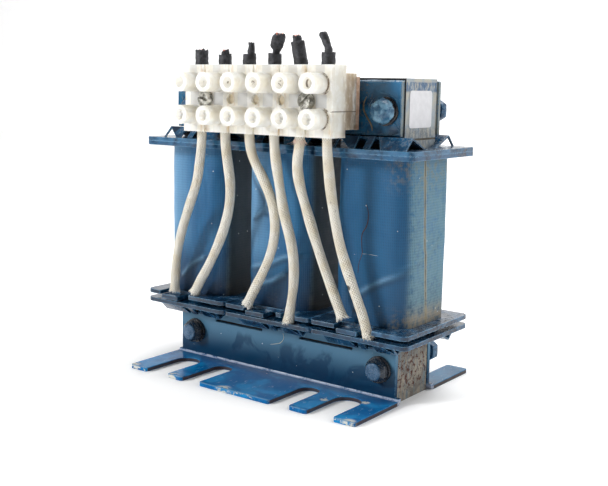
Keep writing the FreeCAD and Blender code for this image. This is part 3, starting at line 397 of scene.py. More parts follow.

# %% [markdown]
# ## Blue varnish on steel
#
# The steel was dipped whole. The varnish is a deep, glossy blue that pools in places, with a
# paler look along edges, partly wear and partly painted highlight, and chips down to bright
# zinc on the feet. The chips could be painted by hand, but a noise that is let through only
# near the known edges puts them where tools and floors really strike. The wall is painted
# lighter towards its top, a painted reflection; the foot has painted shade near the fold and in
# the slots, and a painted highlight along the fold and the upper front edge.

# %% Feet
PALE_BLUE = srgb(104, 152, 188)
BARE_ZINC = srgb(214, 214, 206)
DUST = srgb(150, 138, 112)
UMBER = srgb(70, 54, 42)
RUST = srgb(74, 34, 22)
# Places on the front foot where the varnish is knocked off, and how far around them
STRUCK = [((-64.0, -49.0, 1.6), 5.0), ((-37.0, -49.0, 1.6), 4.0), ((54.5, -25.0, 2.0), 2.6),
          ((62.0, -49.0, 1.4), 4.0), ((-6.0, -49.0, 1.0), 5.0), ((38.5, -33.0, 2.0), 2.4)]


def varnished_foot():
    """Foot and wall: saturated blue, painted shade in the slots, chipped along the open edges."""
    recipe = Recipe("varnished_foot")
    place = recipe.place()
    _, y, z = recipe.axes(place)
    depth = recipe.off(y)
    pools = recipe.noise(place, 16.0, 4.0, 0.6, 0.6)
    fine = recipe.noise(place, 1.7, 4.0, 0.65)
    on_foot = recipe.fade(z, 3.2, 2.2)
    # Painted reflection: the wall is lighter towards its top.
    wall = recipe.paint(srgb(14, 54, 84), srgb(84, 124, 150), recipe.fade(z, 5.0, 21.5))
    patch = recipe.both(recipe.fade(pools, 0.5, 0.6), recipe.fade(z, 19.0, 15.0))
    wall = recipe.paint(wall, srgb(12, 46, 76), patch, 0.6)
    foot = recipe.paint(srgb(0, 98, 160), srgb(24, 134, 196), recipe.fade(pools, 0.42, 0.6))
    # Painted shade: the foot darker near the fold.
    near_fold = recipe.fade(depth, 24.0, 16.5)
    foot = recipe.paint(foot, srgb(8, 62, 108), near_fold, 0.7)
    foot = recipe.paint(foot, srgb(20, 88, 116), recipe.fade(y, 14.0, 18.0, 0.0, 0.7))
    colour = recipe.paint(wall, foot, on_foot)
    scuffs = recipe.noise(recipe.place(stretch=(1.0, 0.35, 1.0), turn=(0, 0, 0.5)), 2.3, 5.0, 0.7)
    scuffed = recipe.both(recipe.fade(scuffs, 0.57, 0.7), on_foot, recipe.fade(depth, 20, 34))
    colour = recipe.paint(colour, PALE_BLUE, scuffed, 0.6)
    # Painted shade: the cut faces inside the slots painted dark brown.
    cut_face = recipe.both(recipe.fade(z, 0.1, 0.25), recipe.fade(z, 1.75, 1.6))
    in_slot = recipe.both(cut_face, recipe.fade(depth, 48.3, 47.9))
    colour = recipe.paint(colour, UMBER, in_slot, 0.9)
    rim = recipe.fade(depth, 47.9, 48.9)
    wear_and_glint = recipe.noise(recipe.place(stretch=(0.6, 1.0, 1.0)), 3.2, 5.0, 0.75)
    chips = recipe.both(rim, recipe.fade(wear_and_glint, 0.58, 0.61))
    spots = recipe.both(on_foot, recipe.fade(fine, 0.71, 0.74), recipe.fade(depth, 20, 24))
    struck = recipe.either(*[recipe.near(place, point, reach) for point, reach in STRUCK])
    chips = recipe.either(chips, spots, recipe.both(struck, recipe.fade(wear_and_glint, 0.44, 0.5)))
    colour = recipe.paint(colour, BARE_ZINC, chips)
    # Painted highlight: a pale line along the upper front edge.
    edge_line = recipe.both(rim, recipe.fade(z, 1.5, 1.85), recipe.fade(fine, 0.3, 0.5))
    colour = recipe.paint(colour, PALE_BLUE, edge_line, 0.8)
    # Painted highlight along the fold at the wall's foot.
    fold = recipe.both(recipe.fade(depth, 16.1, 15.8), recipe.fade(z, 3.0, 2.7),
                       recipe.fade(wear_and_glint, 0.36, 0.52))
    colour = recipe.paint(colour, srgb(196, 206, 226), fold, 0.65)
    # Edges lighter: partly wear, partly painted highlight.
    edge_wear_and_glint = recipe.both(recipe.edges(0.5), recipe.fade(fine, 0.4, 0.55))
    colour = recipe.paint(colour, PALE_BLUE, edge_wear_and_glint, 0.55)
    specks = recipe.fade(recipe.cells(place, 5.5), 0.06, 0.04)
    colour = recipe.paint(colour, srgb(190, 204, 212), specks, 0.8)
    rough = recipe.level(0.16, 0.45, recipe.either(scuffed, chips, in_slot))
    relief = recipe.sum("ADD", recipe.sum("MULTIPLY", pools, 2.0),
                        recipe.sum("MULTIPLY", fine, 0.1))
    normal = recipe.bump(relief, 0.2, 0.35)
    normal = recipe.bump(recipe.sum("SUBTRACT", 1.0, chips), 0.12, 0.8, normal)
    return recipe.finish(Base_Color=colour, Roughness=rough, Normal=normal,
                         Specular_IOR_Level=0.12)


foot_finish = varnished_foot()
tell(foot_finish)

# %% [markdown]
# ## The same varnish on the upper clamp plates
#
# The plates that hold the upper yoke hang upright, so the varnish ran down them: it is dark
# and glossy, brown beside the bolt, and thin and pale along the upper edge, where a painted
# highlight lies on it; every edge is lighter, partly wear and partly painted highlight. Height
# and distance to the right are enough to tell these zones apart.

# %% Clamp plates


def varnished_clamp():
    """Clamp plates: glossy dark blue, brown drips by the bolt, painted highlight on the top edge.
    """
    recipe = Recipe("varnished_clamp")
    place = recipe.place()
    x, _, z = recipe.axes(place)
    cloud = recipe.noise(place, 9.0, 4.0, 0.6, 0.8)
    fine = recipe.noise(place, 1.1, 5.0, 0.7)
    colour = recipe.paint(srgb(12, 58, 90), srgb(40, 104, 142), recipe.fade(cloud, 0.36, 0.68))
    colour = recipe.paint(colour, srgb(78, 120, 150), recipe.fade(z, 128.0, 137.5, 0.0, 0.45))
    right = recipe.both(recipe.fade(x, 52.0, 58.0), recipe.fade(z, 116.0, 122.0))
    colour = recipe.paint(colour, srgb(44, 114, 160), right, 0.7)
    smear = recipe.both(recipe.fade(x, 52.0, 44.5), recipe.fade(fine, 0.5, 0.66))
    colour = recipe.paint(colour, srgb(84, 84, 76), smear, 0.6)
    right_edge = recipe.both(recipe.fade(x, 61.4, 61.8), recipe.fade(fine, 0.3, 0.5))
    colour = recipe.paint(colour, srgb(140, 138, 118), right_edge, 0.7)
    # Painted highlight on the thin, rougher varnish of the top edge.
    top_edge = recipe.fade(z, 137.6, 138.2)
    wear_and_glint = recipe.both(top_edge, recipe.fade(fine, 0.4, 0.52))
    colour = recipe.paint(colour, srgb(196, 208, 218), wear_and_glint, 0.7)
    # Edges lighter: partly wear, partly painted highlight.
    edge_wear_and_glint = recipe.both(recipe.edges(0.6), recipe.fade(fine, 0.3, 0.5))
    colour = recipe.paint(colour, srgb(112, 158, 188), edge_wear_and_glint, 0.6)
    rough = recipe.level(0.1, 0.5, recipe.either(smear, wear_and_glint))
    normal = recipe.bump(cloud, 0.8, 0.6)
    normal = recipe.bump(fine, 0.05, 0.5, normal)
    return recipe.finish(Base_Color=colour, Roughness=rough, Normal=normal,
                         Specular_IOR_Level=0.45)


clamp_finish = varnished_clamp()
tell(clamp_finish)

# %% [markdown]
# ## And on the bobbins and end plates
#
# Bobbins are moulded and end plates folded, but the dip made them look alike. The cut edge
# all around is painted lighter above, a painted highlight, and nearly black below, a painted
# shade, and dust lies on whatever is level. Every edge is lighter still, partly wear and partly
# painted highlight. One recipe makes both finishes, with another colour for the edge's painted
# highlight.

# %% Bobbins and end plates


def varnished_moulding(name, lit_edge_colour, dusty):
    """Bobbins and end plates: dark varnish; edges worn, with painted highlight and painted shade.
    """
    recipe = Recipe(name)
    place = recipe.place()
    cloud = recipe.noise(place, 7.0, 4.0, 0.6, 0.5)
    fine = recipe.noise(place, 1.3, 4.0, 0.65)
    x, y, z = recipe.axes(place)
    colour = recipe.paint(srgb(8, 38, 64), srgb(32, 88, 126), recipe.fade(cloud, 0.35, 0.68))
    outer = recipe.either(recipe.fade(recipe.off(y), 26.8, 27.3),
                          recipe.fade(recipe.off(x), 74.2, 74.8))
    # Painted highlight on the upper outer edges.
    lit = recipe.both(outer, recipe.fade(cloud, 0.3, 0.55), recipe.fade(z, 60.0, 90.0))
    colour = recipe.paint(colour, lit_edge_colour, lit, 0.25)
    # Painted shade: the outer edges darker low down, less so to the right.
    below = recipe.both(outer, recipe.fade(z, 60.0, 50.0))
    below = recipe.both(below, recipe.fade(x, 60.0, 20.0, 0.25, 1.0))
    colour = recipe.paint(colour, srgb(6, 28, 48), below, 0.75)
    # Edges lighter: partly wear, partly painted highlight.
    edge_wear_and_glint = recipe.both(recipe.edges(0.45), recipe.fade(fine, 0.34, 0.5))
    colour = recipe.paint(colour, srgb(120, 174, 210), edge_wear_and_glint, 0.75)
    right = recipe.both(recipe.fade(x, 46.0, 70.0),
                        recipe.fade(recipe.off(y), 27.0, 12.0, 0.25, 1.0))
    flat = recipe.sum("SUBTRACT", 1.0, outer)
    dust = recipe.both(recipe.fade(fine, 0.46, 0.62), recipe.sum("ADD", flat, 0.25, clamp=True),
                       recipe.sum("ADD", recipe.fade(cloud, 0.5, 0.66), right, clamp=True))
    colour = recipe.paint(colour, DUST, dust, dusty)
    rough = recipe.level(0.16, 0.6, dust)
    normal = recipe.bump(cloud, 0.5, 0.6)
    normal = recipe.bump(fine, 0.06, 0.7, normal)
    return recipe.finish(Base_Color=colour, Roughness=rough, Normal=normal,
                         Specular_IOR_Level=0.45)


DUST_SHARE = 0.28
plate_finish = varnished_moulding("varnished_plate", srgb(84, 142, 182), DUST_SHARE)
bobbin_finish = varnished_moulding("varnished_bobbin", srgb(44, 96, 136), DUST_SHARE)
tell(plate_finish, bobbin_finish)

# %% [markdown]
# ## Core iron, with dust above and rust below
#
# The ends of the lamination stacks show fine upright lines, one for each sheet. The upper
# yoke's end keeps a band of blue under grey-brown dust, and the lower one has lost its varnish
# and gone rusty in spots. The sheets are half a millimetre thick, so a wave of that length
# across the stack gives the lines.

# %% Core finish
SHEET = 0.5
# Past this distance from the stack's middle only the slits of the feet show iron, in the dark
STACK_FACE = 12.8


def core_iron():
    """Sheet lines across the stack; height tells the dusty yoke from the rusty one."""
    recipe = Recipe("core_iron")
    place = recipe.place()
    _, y, z = recipe.axes(place)
    sheets = recipe.wave(y, SHEET)
    cloud = recipe.noise(place, 6.0, 4.0, 0.6, 0.6)
    fine = recipe.noise(recipe.place(stretch=(1.0, 1.0, 0.45)), 1.5, 5.0, 0.7)
    streaks = recipe.noise(recipe.place(stretch=(1.0, 1.0, 0.12)), 1.4, 4.0, 0.7)
    low = recipe.fade(z, 60.0, 40.0)
    upper = recipe.paint(srgb(160, 170, 177), srgb(182, 180, 170), recipe.fade(cloud, 0.4, 0.6))
    band = recipe.both(recipe.fade(z, 133.2, 134.4), recipe.fade(z, 138.2, 137.4),
                       recipe.fade(fine, 0.36, 0.56))
    upper = recipe.paint(upper, srgb(58, 98, 136), band, 0.85)
    foot = recipe.both(recipe.fade(z, 121.0, 116.5), recipe.fade(fine, 0.4, 0.6))
    upper = recipe.paint(upper, srgb(74, 96, 116), foot, 0.6)
    dull = recipe.paint(srgb(104, 98, 90), srgb(142, 134, 120), recipe.fade(cloud, 0.4, 0.6))
    dull = recipe.paint(dull, srgb(98, 112, 118), recipe.fade(streaks, 0.5, 0.62))
    spots = recipe.fade(recipe.noise(place, 2.1, 5.0, 0.72, 0.4), 0.52, 0.58)
    lower = recipe.paint(dull, RUST, recipe.both(spots, recipe.fade(z, 3.0, 6.0)))
    holes = recipe.fade(recipe.noise(place, 1.2, 3.0, 0.6), 0.66, 0.7)
    lower = recipe.paint(lower, srgb(38, 26, 22), holes)
    colour = recipe.paint(upper, lower, low)
    unlit = recipe.fade(recipe.off(y), STACK_FACE, STACK_FACE + 0.15)
    colour = recipe.paint(colour, srgb(16, 18, 22), unlit)
    rough = recipe.level(0.55, 0.85, recipe.either(spots, fine))
    normal = recipe.bump(sheets, 0.03, 0.5)
    normal = recipe.bump(recipe.sum("SUBTRACT", fine, spots), 0.2, 0.7, normal)
    return recipe.finish(Base_Color=colour, Roughness=rough, Normal=normal, Metallic=0.0)


core_finish = core_iron()
tell(core_finish)

# %% [markdown]
# ## Varnished tape
#
# Each coil is wrapped in tape that soaked up blue varnish. Its threads show as fine upright
# lines. The piece carries its own map, distance around the coil and height, both in
# millimetres, so the threads turn the corners with the tape.

# %% Tape finish
THREAD = 0.85
COIL_PITCH = box_mm("wrap_right")[0][0] - box_mm("wrap_centre")[0][0]
# The seam's height where it leaves the flange, and how it bends forwards on the way down
SEAM_TOP, SEAM_START, SEAM_SLOPE, SEAM_BEND = 104.0, -6.2, 0.012, 0.00095


def varnished_tape():
    """Blue with a painted sheen on the first coils, dark and brown low down, with woven relief."""
    recipe = Recipe("varnished_tape")
    around, height, _ = recipe.axes(recipe.place("UV"))
    place = recipe.place()
    x, y, z = recipe.axes(place)
    coil = recipe.sum("FLOORED_MODULO", recipe.sum("ADD", x, COIL_PITCH * 1.5), COIL_PITCH)
    across = recipe.sum("SUBTRACT", coil, COIL_PITCH / 2)
    cloud = recipe.noise(recipe.place(stretch=(1.0, 1.0, 0.55)), 15.0, 4.0, 0.6, 0.6)
    streaks = recipe.noise(recipe.place(stretch=(1.0, 1.0, 0.06)), 1.3, 4.0, 0.7)
    fine = recipe.noise(place, 0.8, 4.0, 0.75)
    grain = recipe.noise(place, 2.6, 5.0, 0.7)
    front = recipe.fade(y, -13.5, -17.0)
    beside = recipe.sum("SUBTRACT", 1.0, front)
    colour = recipe.paint(srgb(24, 88, 132), srgb(44, 108, 150), recipe.fade(cloud, 0.34, 0.64))
    # Darker towards the bottom of each coil.
    low_darkening = recipe.fade(z, 66.0, 36.0)
    colour = recipe.paint(colour, srgb(6, 40, 70), low_darkening, 0.9)
    # Painted sheen: the left part of the first two coils lighter.
    left = recipe.both(recipe.fade(across, 2.0, -14.0), recipe.fade(x, 20.0, 0.0),
                       recipe.fade(z, 46.0, 74.0))
    colour = recipe.paint(colour, srgb(118, 164, 200), left, 0.62)
    last = recipe.both(recipe.fade(x, 30.0, 40.0), front)
    colour = recipe.paint(colour, srgb(22, 80, 120), last, 0.75)
    # Painted highlight along each crease and painted shade in the hollow below it.
    crest = recipe.node("ShaderNodeAttribute", attribute_name="crest").outputs["Fac"]
    hollow = recipe.node("ShaderNodeAttribute", attribute_name="hollow").outputs["Fac"]
    colour = recipe.paint(colour, srgb(120, 168, 200), crest, 0.42)
    colour = recipe.paint(colour, srgb(8, 38, 64), hollow, 0.6)
    # Painted shade: each coil's front darker towards its rounded right corner.
    shoulder = recipe.both(front, recipe.fade(across, 8.0, 14.0))
    colour = recipe.paint(colour, srgb(16, 66, 102), shoulder, 0.25)
    colour = recipe.paint(colour, srgb(20, 62, 98), recipe.fade(streaks, 0.5, 0.68), 0.12)
    side = recipe.both(beside, recipe.fade(across, 10.0, 16.5))
    dusty = recipe.both(side, recipe.fade(grain, 0.2, 0.6))
    colour = recipe.paint(colour, srgb(110, 142, 152), dusty, 0.8)
    ends = recipe.either(recipe.fade(z, 46.0, 35.5), recipe.fade(z, 88.0, 105.5))
    right_half = recipe.fade(across, 4.0, 15.0)
    grime = recipe.both(ends, right_half, recipe.fade(grain, 0.44, 0.64),
                        recipe.fade(x, 40.0, 62.0))
    colour = recipe.paint(colour, srgb(128, 120, 98), grime, 0.6)
    crumbs = recipe.both(recipe.either(side, ends), recipe.fade(fine, 0.6, 0.72))
    colour = recipe.paint(colour, srgb(158, 142, 108), crumbs, 0.5)
    settled = recipe.both(side, recipe.fade(z, 46.0, 36.0), recipe.fade(grain, 0.3, 0.55))
    colour = recipe.paint(colour, srgb(160, 144, 122), settled, 0.7)
    # Painted shade: the right side faces of the first two coils, between the coils, dark grey.
    inner = recipe.both(side, recipe.fade(x, 60.0, 40.0))
    colour = recipe.paint(colour, srgb(60, 62, 62), inner, 0.85)
    threads = recipe.wave(around, THREAD)
    picks = recipe.wave(height, THREAD / 0.7)
    weave = recipe.sum("ADD", threads, recipe.sum("MULTIPLY", picks, 0.45))
    between_threads = recipe.fade(recipe.sum("ADD", weave, recipe.sum("MULTIPLY", fine, 1.6)),
                                  0.6, -1.2)
    colour = recipe.paint(colour, srgb(6, 26, 44), between_threads, 0.5)
    lag = recipe.sum("SUBTRACT", SEAM_TOP, z)
    bend = recipe.sum("MULTIPLY", recipe.sum("MULTIPLY", lag, lag), SEAM_BEND)
    slope = recipe.sum("MULTIPLY", lag, SEAM_SLOPE)
    seam = recipe.sum("ADD", recipe.sum("ADD", bend, slope), SEAM_START)
    off_seam = recipe.off(y, seam)
    last_coil = recipe.fade(x, 66.0, 67.5)
    glow = recipe.both(last_coil, recipe.fade(off_seam, 1.3, 0.2), recipe.fade(grain, 0.3, 0.5))
    colour = recipe.paint(colour, srgb(170, 158, 128), glow, 0.7)
    line = recipe.both(last_coil, recipe.fade(off_seam, 0.35, 0.15))
    colour = recipe.paint(colour, srgb(50, 52, 50), line, 0.7)
    specks = recipe.fade(recipe.cells(place, 6.5), 0.055, 0.035)
    colour = recipe.paint(colour, srgb(206, 214, 212), specks, 0.85)
    rough = recipe.level(0.36, 0.75, recipe.either(dusty, grime))
    normal = recipe.bump(weave, 0.045, 0.7)
    normal = recipe.bump(fine, 0.06, 0.4, normal)
    return recipe.finish(Base_Color=colour, Roughness=rough, Normal=normal,
                         Specular_IOR_Level=0.3)


tape_finish = varnished_tape()
tell(tape_finish)

# %% [markdown]
# ## Nylon
#
# The terminal strip is cream nylon that lets light in a little way, so its wells are never
# dark: a little light scatters under the surface and a faint glow stands for the rest. The
# brass tubes show through as grey bands. Screw marks, dirt between the barrels and a brown
# stain at the right end come next. Every pole looks alike, so the distance from the nearest
# pole's middle places most of them.

# %% Nylon strip
STRIP_BOX = box_mm("terminal_block")
STRIP_RIGHT = STRIP_BOX[1][0]
STRIP_MIDDLE = (STRIP_BOX[0][2] + STRIP_BOX[1][2]) / 2
INSERTS = box_mm("terminal_inserts")
INSERT_RADIUS = (INSERTS[1][1] - INSERTS[0][1]) / 2
FIRST_POLE = INSERTS[0][0] + INSERT_RADIUS
POLE_PITCH = (INSERTS[1][0] - INSERTS[0][0] - 2 * INSERT_RADIUS) / 5
WIRE_AXIS = (INSERTS[0][1] + INSERTS[1][1]) / 2
LAST_POLE = FIRST_POLE + 5 * POLE_PITCH
ROW_SPREAD = 14.3
BARREL_RADIUS = 4.2
NYLON_GLOW = 0.05
# For poles counted from nought, a dark mark on the upper well's wall: how far it reaches
# along the well and up it, and how much of it is broken away
WELL_MARKS = {1: (0.3, 1.0, 0.5), 2: (0.7, 0.5, 0.44), 3: (1.3, 1.0, 0.5), 4: (1.2, 1.4, 0.5),
              5: (0.8, 1.8, 0.3)}
WELL_WALL = 2.4
MARK_DEPTH = 3.3


def from_pole(recipe, x):
    """Distance to the right of the nearest pole: the remainder after whole pitches."""
    shifted = recipe.sum("ADD", x, POLE_PITCH / 2 - FIRST_POLE + POLE_PITCH)
    remainder = recipe.sum("FLOORED_MODULO", shifted, POLE_PITCH)
    return recipe.sum("SUBTRACT", remainder, POLE_PITCH / 2)


def nylon():
    """Cream, with brass showing through, brown between the barrels and at the right end."""
    recipe = Recipe("nylon")
    place = recipe.place()
    x, y, z = recipe.axes(place)
    cloud = recipe.noise(place, 5.0, 4.0, 0.6)
    fine = recipe.noise(place, 0.9, 4.0, 0.7)
    smudge = recipe.noise(recipe.place(stretch=(1.0, 1.0, 0.35)), 2.6, 5.0, 0.7)
    colour = recipe.paint(srgb(228, 222, 208), srgb(238, 235, 226), recipe.fade(cloud, 0.4, 0.62))
    across = from_pole(recipe, x)
    off_pole = recipe.off(across)
    off_middle = recipe.off(z, STRIP_MIDDLE)
    face = recipe.fade(y, -37.0, -37.6)
    window = recipe.both(face, recipe.fade(off_pole, 2.9, 2.5), recipe.fade(off_middle, 3.0, 2.5))
    band = recipe.both(face, recipe.fade(off_pole, 2.5, 2.0), recipe.fade(off_middle, 11.3, 12.0))
    shown = recipe.either(recipe.sum("MULTIPLY", window, 0.8), recipe.sum("MULTIPLY", band, 0.5))
    colour = recipe.paint(colour, srgb(196, 196, 194), shown)
    gaps = recipe.both(face, recipe.fade(off_pole, 3.6, 5.2), recipe.fade(smudge, 0.44, 0.62))
    colour = recipe.paint(colour, srgb(206, 180, 148), gaps, 0.7)
    on_side = recipe.fade(x, STRIP_RIGHT - 0.6, STRIP_RIGHT - 0.3)
    behind = recipe.both(recipe.fade(y, -33.5, -26.5), recipe.fade(x, 36.0, 41.0))
    stain = recipe.both(behind, recipe.fade(smudge, 0.28, 0.58))
    colour = recipe.paint(colour, srgb(152, 130, 102), stain, 0.85)
    dirty = recipe.both(behind, recipe.fade(z, 126.5, 124.0), recipe.fade(smudge, 0.3, 0.6))
    colour = recipe.paint(colour, srgb(122, 104, 84), dirty, 0.5)
    off_step = recipe.off(z, 125.3)
    step_line = recipe.both(on_side, recipe.fade(off_step, 0.34, 0.12))
    colour = recipe.paint(colour, srgb(104, 90, 74), step_line, 0.85)
    for row in (-1, 1):
        aside = recipe.sum("SUBTRACT", x, LAST_POLE)
        above = recipe.sum("SUBTRACT", z, STRIP_MIDDLE + row * ROW_SPREAD / 2)
        reach = recipe.span(aside, above)
        off_root = recipe.off(reach, BARREL_RADIUS + 0.25)
        crack = recipe.both(recipe.fade(off_root, 0.4, 0.15), recipe.fade(aside, 0.4, 2.2),
                            recipe.fade(y, -40.0, -39.4), recipe.fade(fine, 0.36, 0.5))
        colour = recipe.paint(colour, srgb(92, 70, 52), crack, 0.85)
    off_row = recipe.sum("SUBTRACT", off_middle, ROW_SPREAD / 2)
    reach = recipe.span(off_pole, off_row)
    # Painted light: the wells painted near white and set to glow faintly, for light through the
    # nylon.
    well = recipe.both(recipe.fade(reach, 3.0, 2.6), recipe.fade(y, -36.0, -38.0))
    colour = recipe.paint(colour, srgb(244, 241, 232), well)
    crumbs = recipe.noise(place, 0.7, 4.0, 0.7)
    off_y = recipe.off(y, STRIP_BOX[0][1] + MARK_DEPTH)
    off_z = recipe.off(z, STRIP_MIDDLE + ROW_SPREAD / 2)
    for pole, (wide, tall, broken) in WELL_MARKS.items():
        off_x = recipe.off(x, FIRST_POLE + pole * POLE_PITCH - WELL_WALL)
        mark = recipe.both(recipe.fade(off_x, 1.6, 1.2),
                           recipe.fade(off_y, wide, 0.7 * wide),
                           recipe.fade(off_z, tall, 0.8 * tall),
                           recipe.fade(crumbs, broken, broken + 0.06))
        colour = recipe.paint(colour, srgb(78, 56, 44), mark, 0.85)
    rough = recipe.level(0.35, 0.55, fine)
    normal = recipe.bump(fine, 0.05, 0.4)
    return recipe.finish(Base_Color=colour, Roughness=rough, Normal=normal,
                         Emission_Color=srgb(255, 251, 242),
                         Emission_Strength=recipe.sum("MULTIPLY", well, NYLON_GLOW),
                         Subsurface_Weight=1.0, Subsurface_Scale=0.008,
                         Subsurface_Radius=(1.0, 0.95, 0.85), Specular_IOR_Level=0.45)


nylon_finish = nylon()
tell(nylon_finish)

# %% [markdown]
# ## Clamping screws
#
# At the bottom of each well is the face of a clamping screw. The lower ones are pale in the
# photograph, and the upper ones have a brown slot. Their faces are painted pale and glow
# faintly, a painted light for the light that comes through the nylon.

# %% Screw faces
# The slot's distance to the left of the pole
SLOT_ASIDE = 1.1


def screw_faces():
    """Clamping screws: painted pale and glowing faintly, a painted light; a brown slot above."""
    recipe = Recipe("screw_faces")
    place = recipe.place()
    x, _, z = recipe.axes(place)
    fine = recipe.noise(place, 0.9, 4.0, 0.7)
    # Painted light: pale faces that glow faintly, for the light that comes through the nylon.
    colour = recipe.paint(srgb(238, 238, 236), srgb(248, 248, 246), recipe.fade(fine, 0.4, 0.6))
    across = from_pole(recipe, x)
    above = recipe.sum("SUBTRACT", z, STRIP_MIDDLE + ROW_SPREAD / 2)
    blotch = recipe.noise(place, 3.0, 4.0, 0.7)
    aside = recipe.off(recipe.sum("ADD", across, SLOT_ASIDE))
    slot = recipe.both(recipe.fade(aside, 0.8, 0.4),
                       recipe.fade(recipe.off(above), 2.0, 1.4),
                       recipe.fade(blotch, 0.34, 0.46))
    colour = recipe.paint(colour, srgb(66, 46, 36), slot, 0.85)
    return recipe.finish(Base_Color=colour, Roughness=0.6, Emission_Color=srgb(250, 248, 242),
                         Emission_Strength=recipe.level(NYLON_GLOW, 0.0, slot))


face_finish = screw_faces()
tell(face_finish)

# %% [markdown]
# ## Glass-fibre braid
#
# The leads wear a sleeve of braided glass. Its threads slant both ways around the tube, so
# the pattern reads the piece's own map, in millimetres around and along, and is the higher
# of two waves: one of the sum of both distances, one of their difference. Where the braid
# ends, single fibres stick out.

# %% Braid and fibres
BRAID = 1.28
# A dark nick in the sixth lead
NICK = (47.2, -29.3, 51.9)
NICK_REACH = 1.7


def glass_sleeve():
    """Braid: two sets of slanting threads on the sleeve's own map, in millimetres."""
    recipe = Recipe("glass_sleeve")
    around, along, _ = recipe.axes(recipe.place("UV"))
    place = recipe.place()
    right = recipe.wave(recipe.sum("ADD", around, along), BRAID)
    left = recipe.wave(recipe.sum("SUBTRACT", around, along), BRAID)
    braid = recipe.sum("MAXIMUM", right, left)
    cloud = recipe.noise(place, 6.0, 3.0, 0.6)
    fine = recipe.noise(place, 0.7, 4.0, 0.7)
    colour = recipe.paint(srgb(250, 246, 234), srgb(238, 228, 206), recipe.fade(cloud, 0.42, 0.66))
    dirt = recipe.both(recipe.fade(fine, 0.64, 0.72), recipe.fade(cloud, 0.48, 0.6))
    colour = recipe.paint(colour, srgb(150, 132, 104), dirt, 0.7)
    specks = recipe.fade(recipe.cells(place, 3.4), 0.1, 0.06)
    colour = recipe.paint(colour, srgb(92, 80, 66), specks, 0.8)
    colour = recipe.paint(colour, srgb(136, 122, 92), recipe.fade(braid, 0.7, -0.1), 0.5)
    colour = recipe.paint(colour, srgb(30, 26, 24), recipe.near(place, NICK, NICK_REACH))
    normal = recipe.bump(braid, 0.2, 1.0)
    return recipe.finish(Base_Color=colour, Roughness=0.62, Normal=normal, Sheen_Weight=0.15)


def fibre():
    """Broken glass threads, almost white."""
    recipe = Recipe("fibre")
    tone = recipe.noise(recipe.place(), 0.6, 2.0)
    colour = recipe.paint(srgb(240, 238, 230), srgb(206, 196, 176), recipe.fade(tone, 0.5, 0.75))
    return recipe.finish(Base_Color=colour, Roughness=0.6)


def stained_fibre():
    """Threads that the varnish reached: a pinkish brown."""
    recipe = Recipe("stained_fibre")
    tone = recipe.noise(recipe.place(), 0.7, 2.0)
    colour = recipe.paint(srgb(226, 204, 190), srgb(176, 138, 120), recipe.fade(tone, 0.5, 0.7))
    return recipe.finish(Base_Color=colour, Roughness=0.6)


sleeve_finish = glass_sleeve()
fibre_finish = fibre()
stained_finish = stained_fibre()
tell(sleeve_finish, fibre_finish, stained_finish)

# %% [markdown]
# ## Rubber, copper and bright metal
#
# The cut cables are dull black rubber around copper strands. The strip's screws and brass
# tubes are bare, so they are metallic, with a fine grain that roughens them one way.

# %% Rubber and metals


def black_rubber():
    """Dull black with chalky dust on its bumps."""
    recipe = Recipe("black_rubber")
    place = recipe.place()
    fine = recipe.noise(place, 0.8, 4.0, 0.7)
    wide = recipe.noise(place, 2.4, 3.0, 0.6)
    colour = recipe.paint(srgb(30, 30, 33), srgb(58, 60, 66), recipe.fade(wide, 0.4, 0.65))
    chalk = recipe.fade(fine, 0.62, 0.72)
    colour = recipe.paint(colour, srgb(112, 116, 118), chalk, 0.5)
    normal = recipe.bump(recipe.sum("ADD", fine, wide), 0.14, 0.8)
    return recipe.finish(Base_Color=colour, Roughness=0.62, Normal=normal)


def bare_copper():
    """The freshly cut strands."""
    recipe = Recipe("bare_copper")
    tone = recipe.noise(recipe.place(), 0.5, 3.0)
    colour = recipe.paint(srgb(214, 122, 96), srgb(236, 168, 148), recipe.fade(tone, 0.4, 0.65))
    return recipe.finish(Base_Color=colour, Roughness=0.35, Metallic=0.7)


def scratched_metal(name, low, high, rough):
    """A cloud of two shades, roughened along fine scratches that all run one way."""
    recipe = Recipe(name)
    place = recipe.place(stretch=(1.0, 1.0, 0.2), turn=(0.0, 0.6, 0.0))
    grain = recipe.noise(place, 0.4, 4.0, 0.7)
    cloud = recipe.noise(recipe.place(), 2.2, 3.0, 0.6)
    colour = recipe.paint(low, high, recipe.fade(cloud, 0.36, 0.64))
    roughness = recipe.level(rough, rough + 0.25, grain)
    normal = recipe.bump(grain, 0.03, 0.6)
    return recipe.finish(Base_Color=colour, Roughness=roughness, Normal=normal, Metallic=0.9)


rubber_finish = black_rubber()
copper_finish = bare_copper()
screw_finish = scratched_metal("bright_screw", srgb(150, 144, 130), srgb(214, 210, 200), 0.28)
slotted_finish = scratched_metal("strip_screw", srgb(104, 102, 94), srgb(206, 204, 196), 0.3)
brass_finish = scratched_metal("brass_tube", srgb(150, 136, 100), srgb(196, 184, 146), 0.35)
tell(rubber_finish, copper_finish, screw_finish, slotted_finish, brass_finish)

# %% [markdown]
# ## Varnished fasteners
#
# Bolts and washers went through the dip with the rest. The head that faces the light is painted
# pale, a painted highlight, the others deep blue, and behind each face the head's sides are
# painted dark, a painted shade flecked with brown.

# %% Fasteners
# Thickness of the varnish disc on a head, before its side with painted shade begins
FACE_DEPTH = 1.2


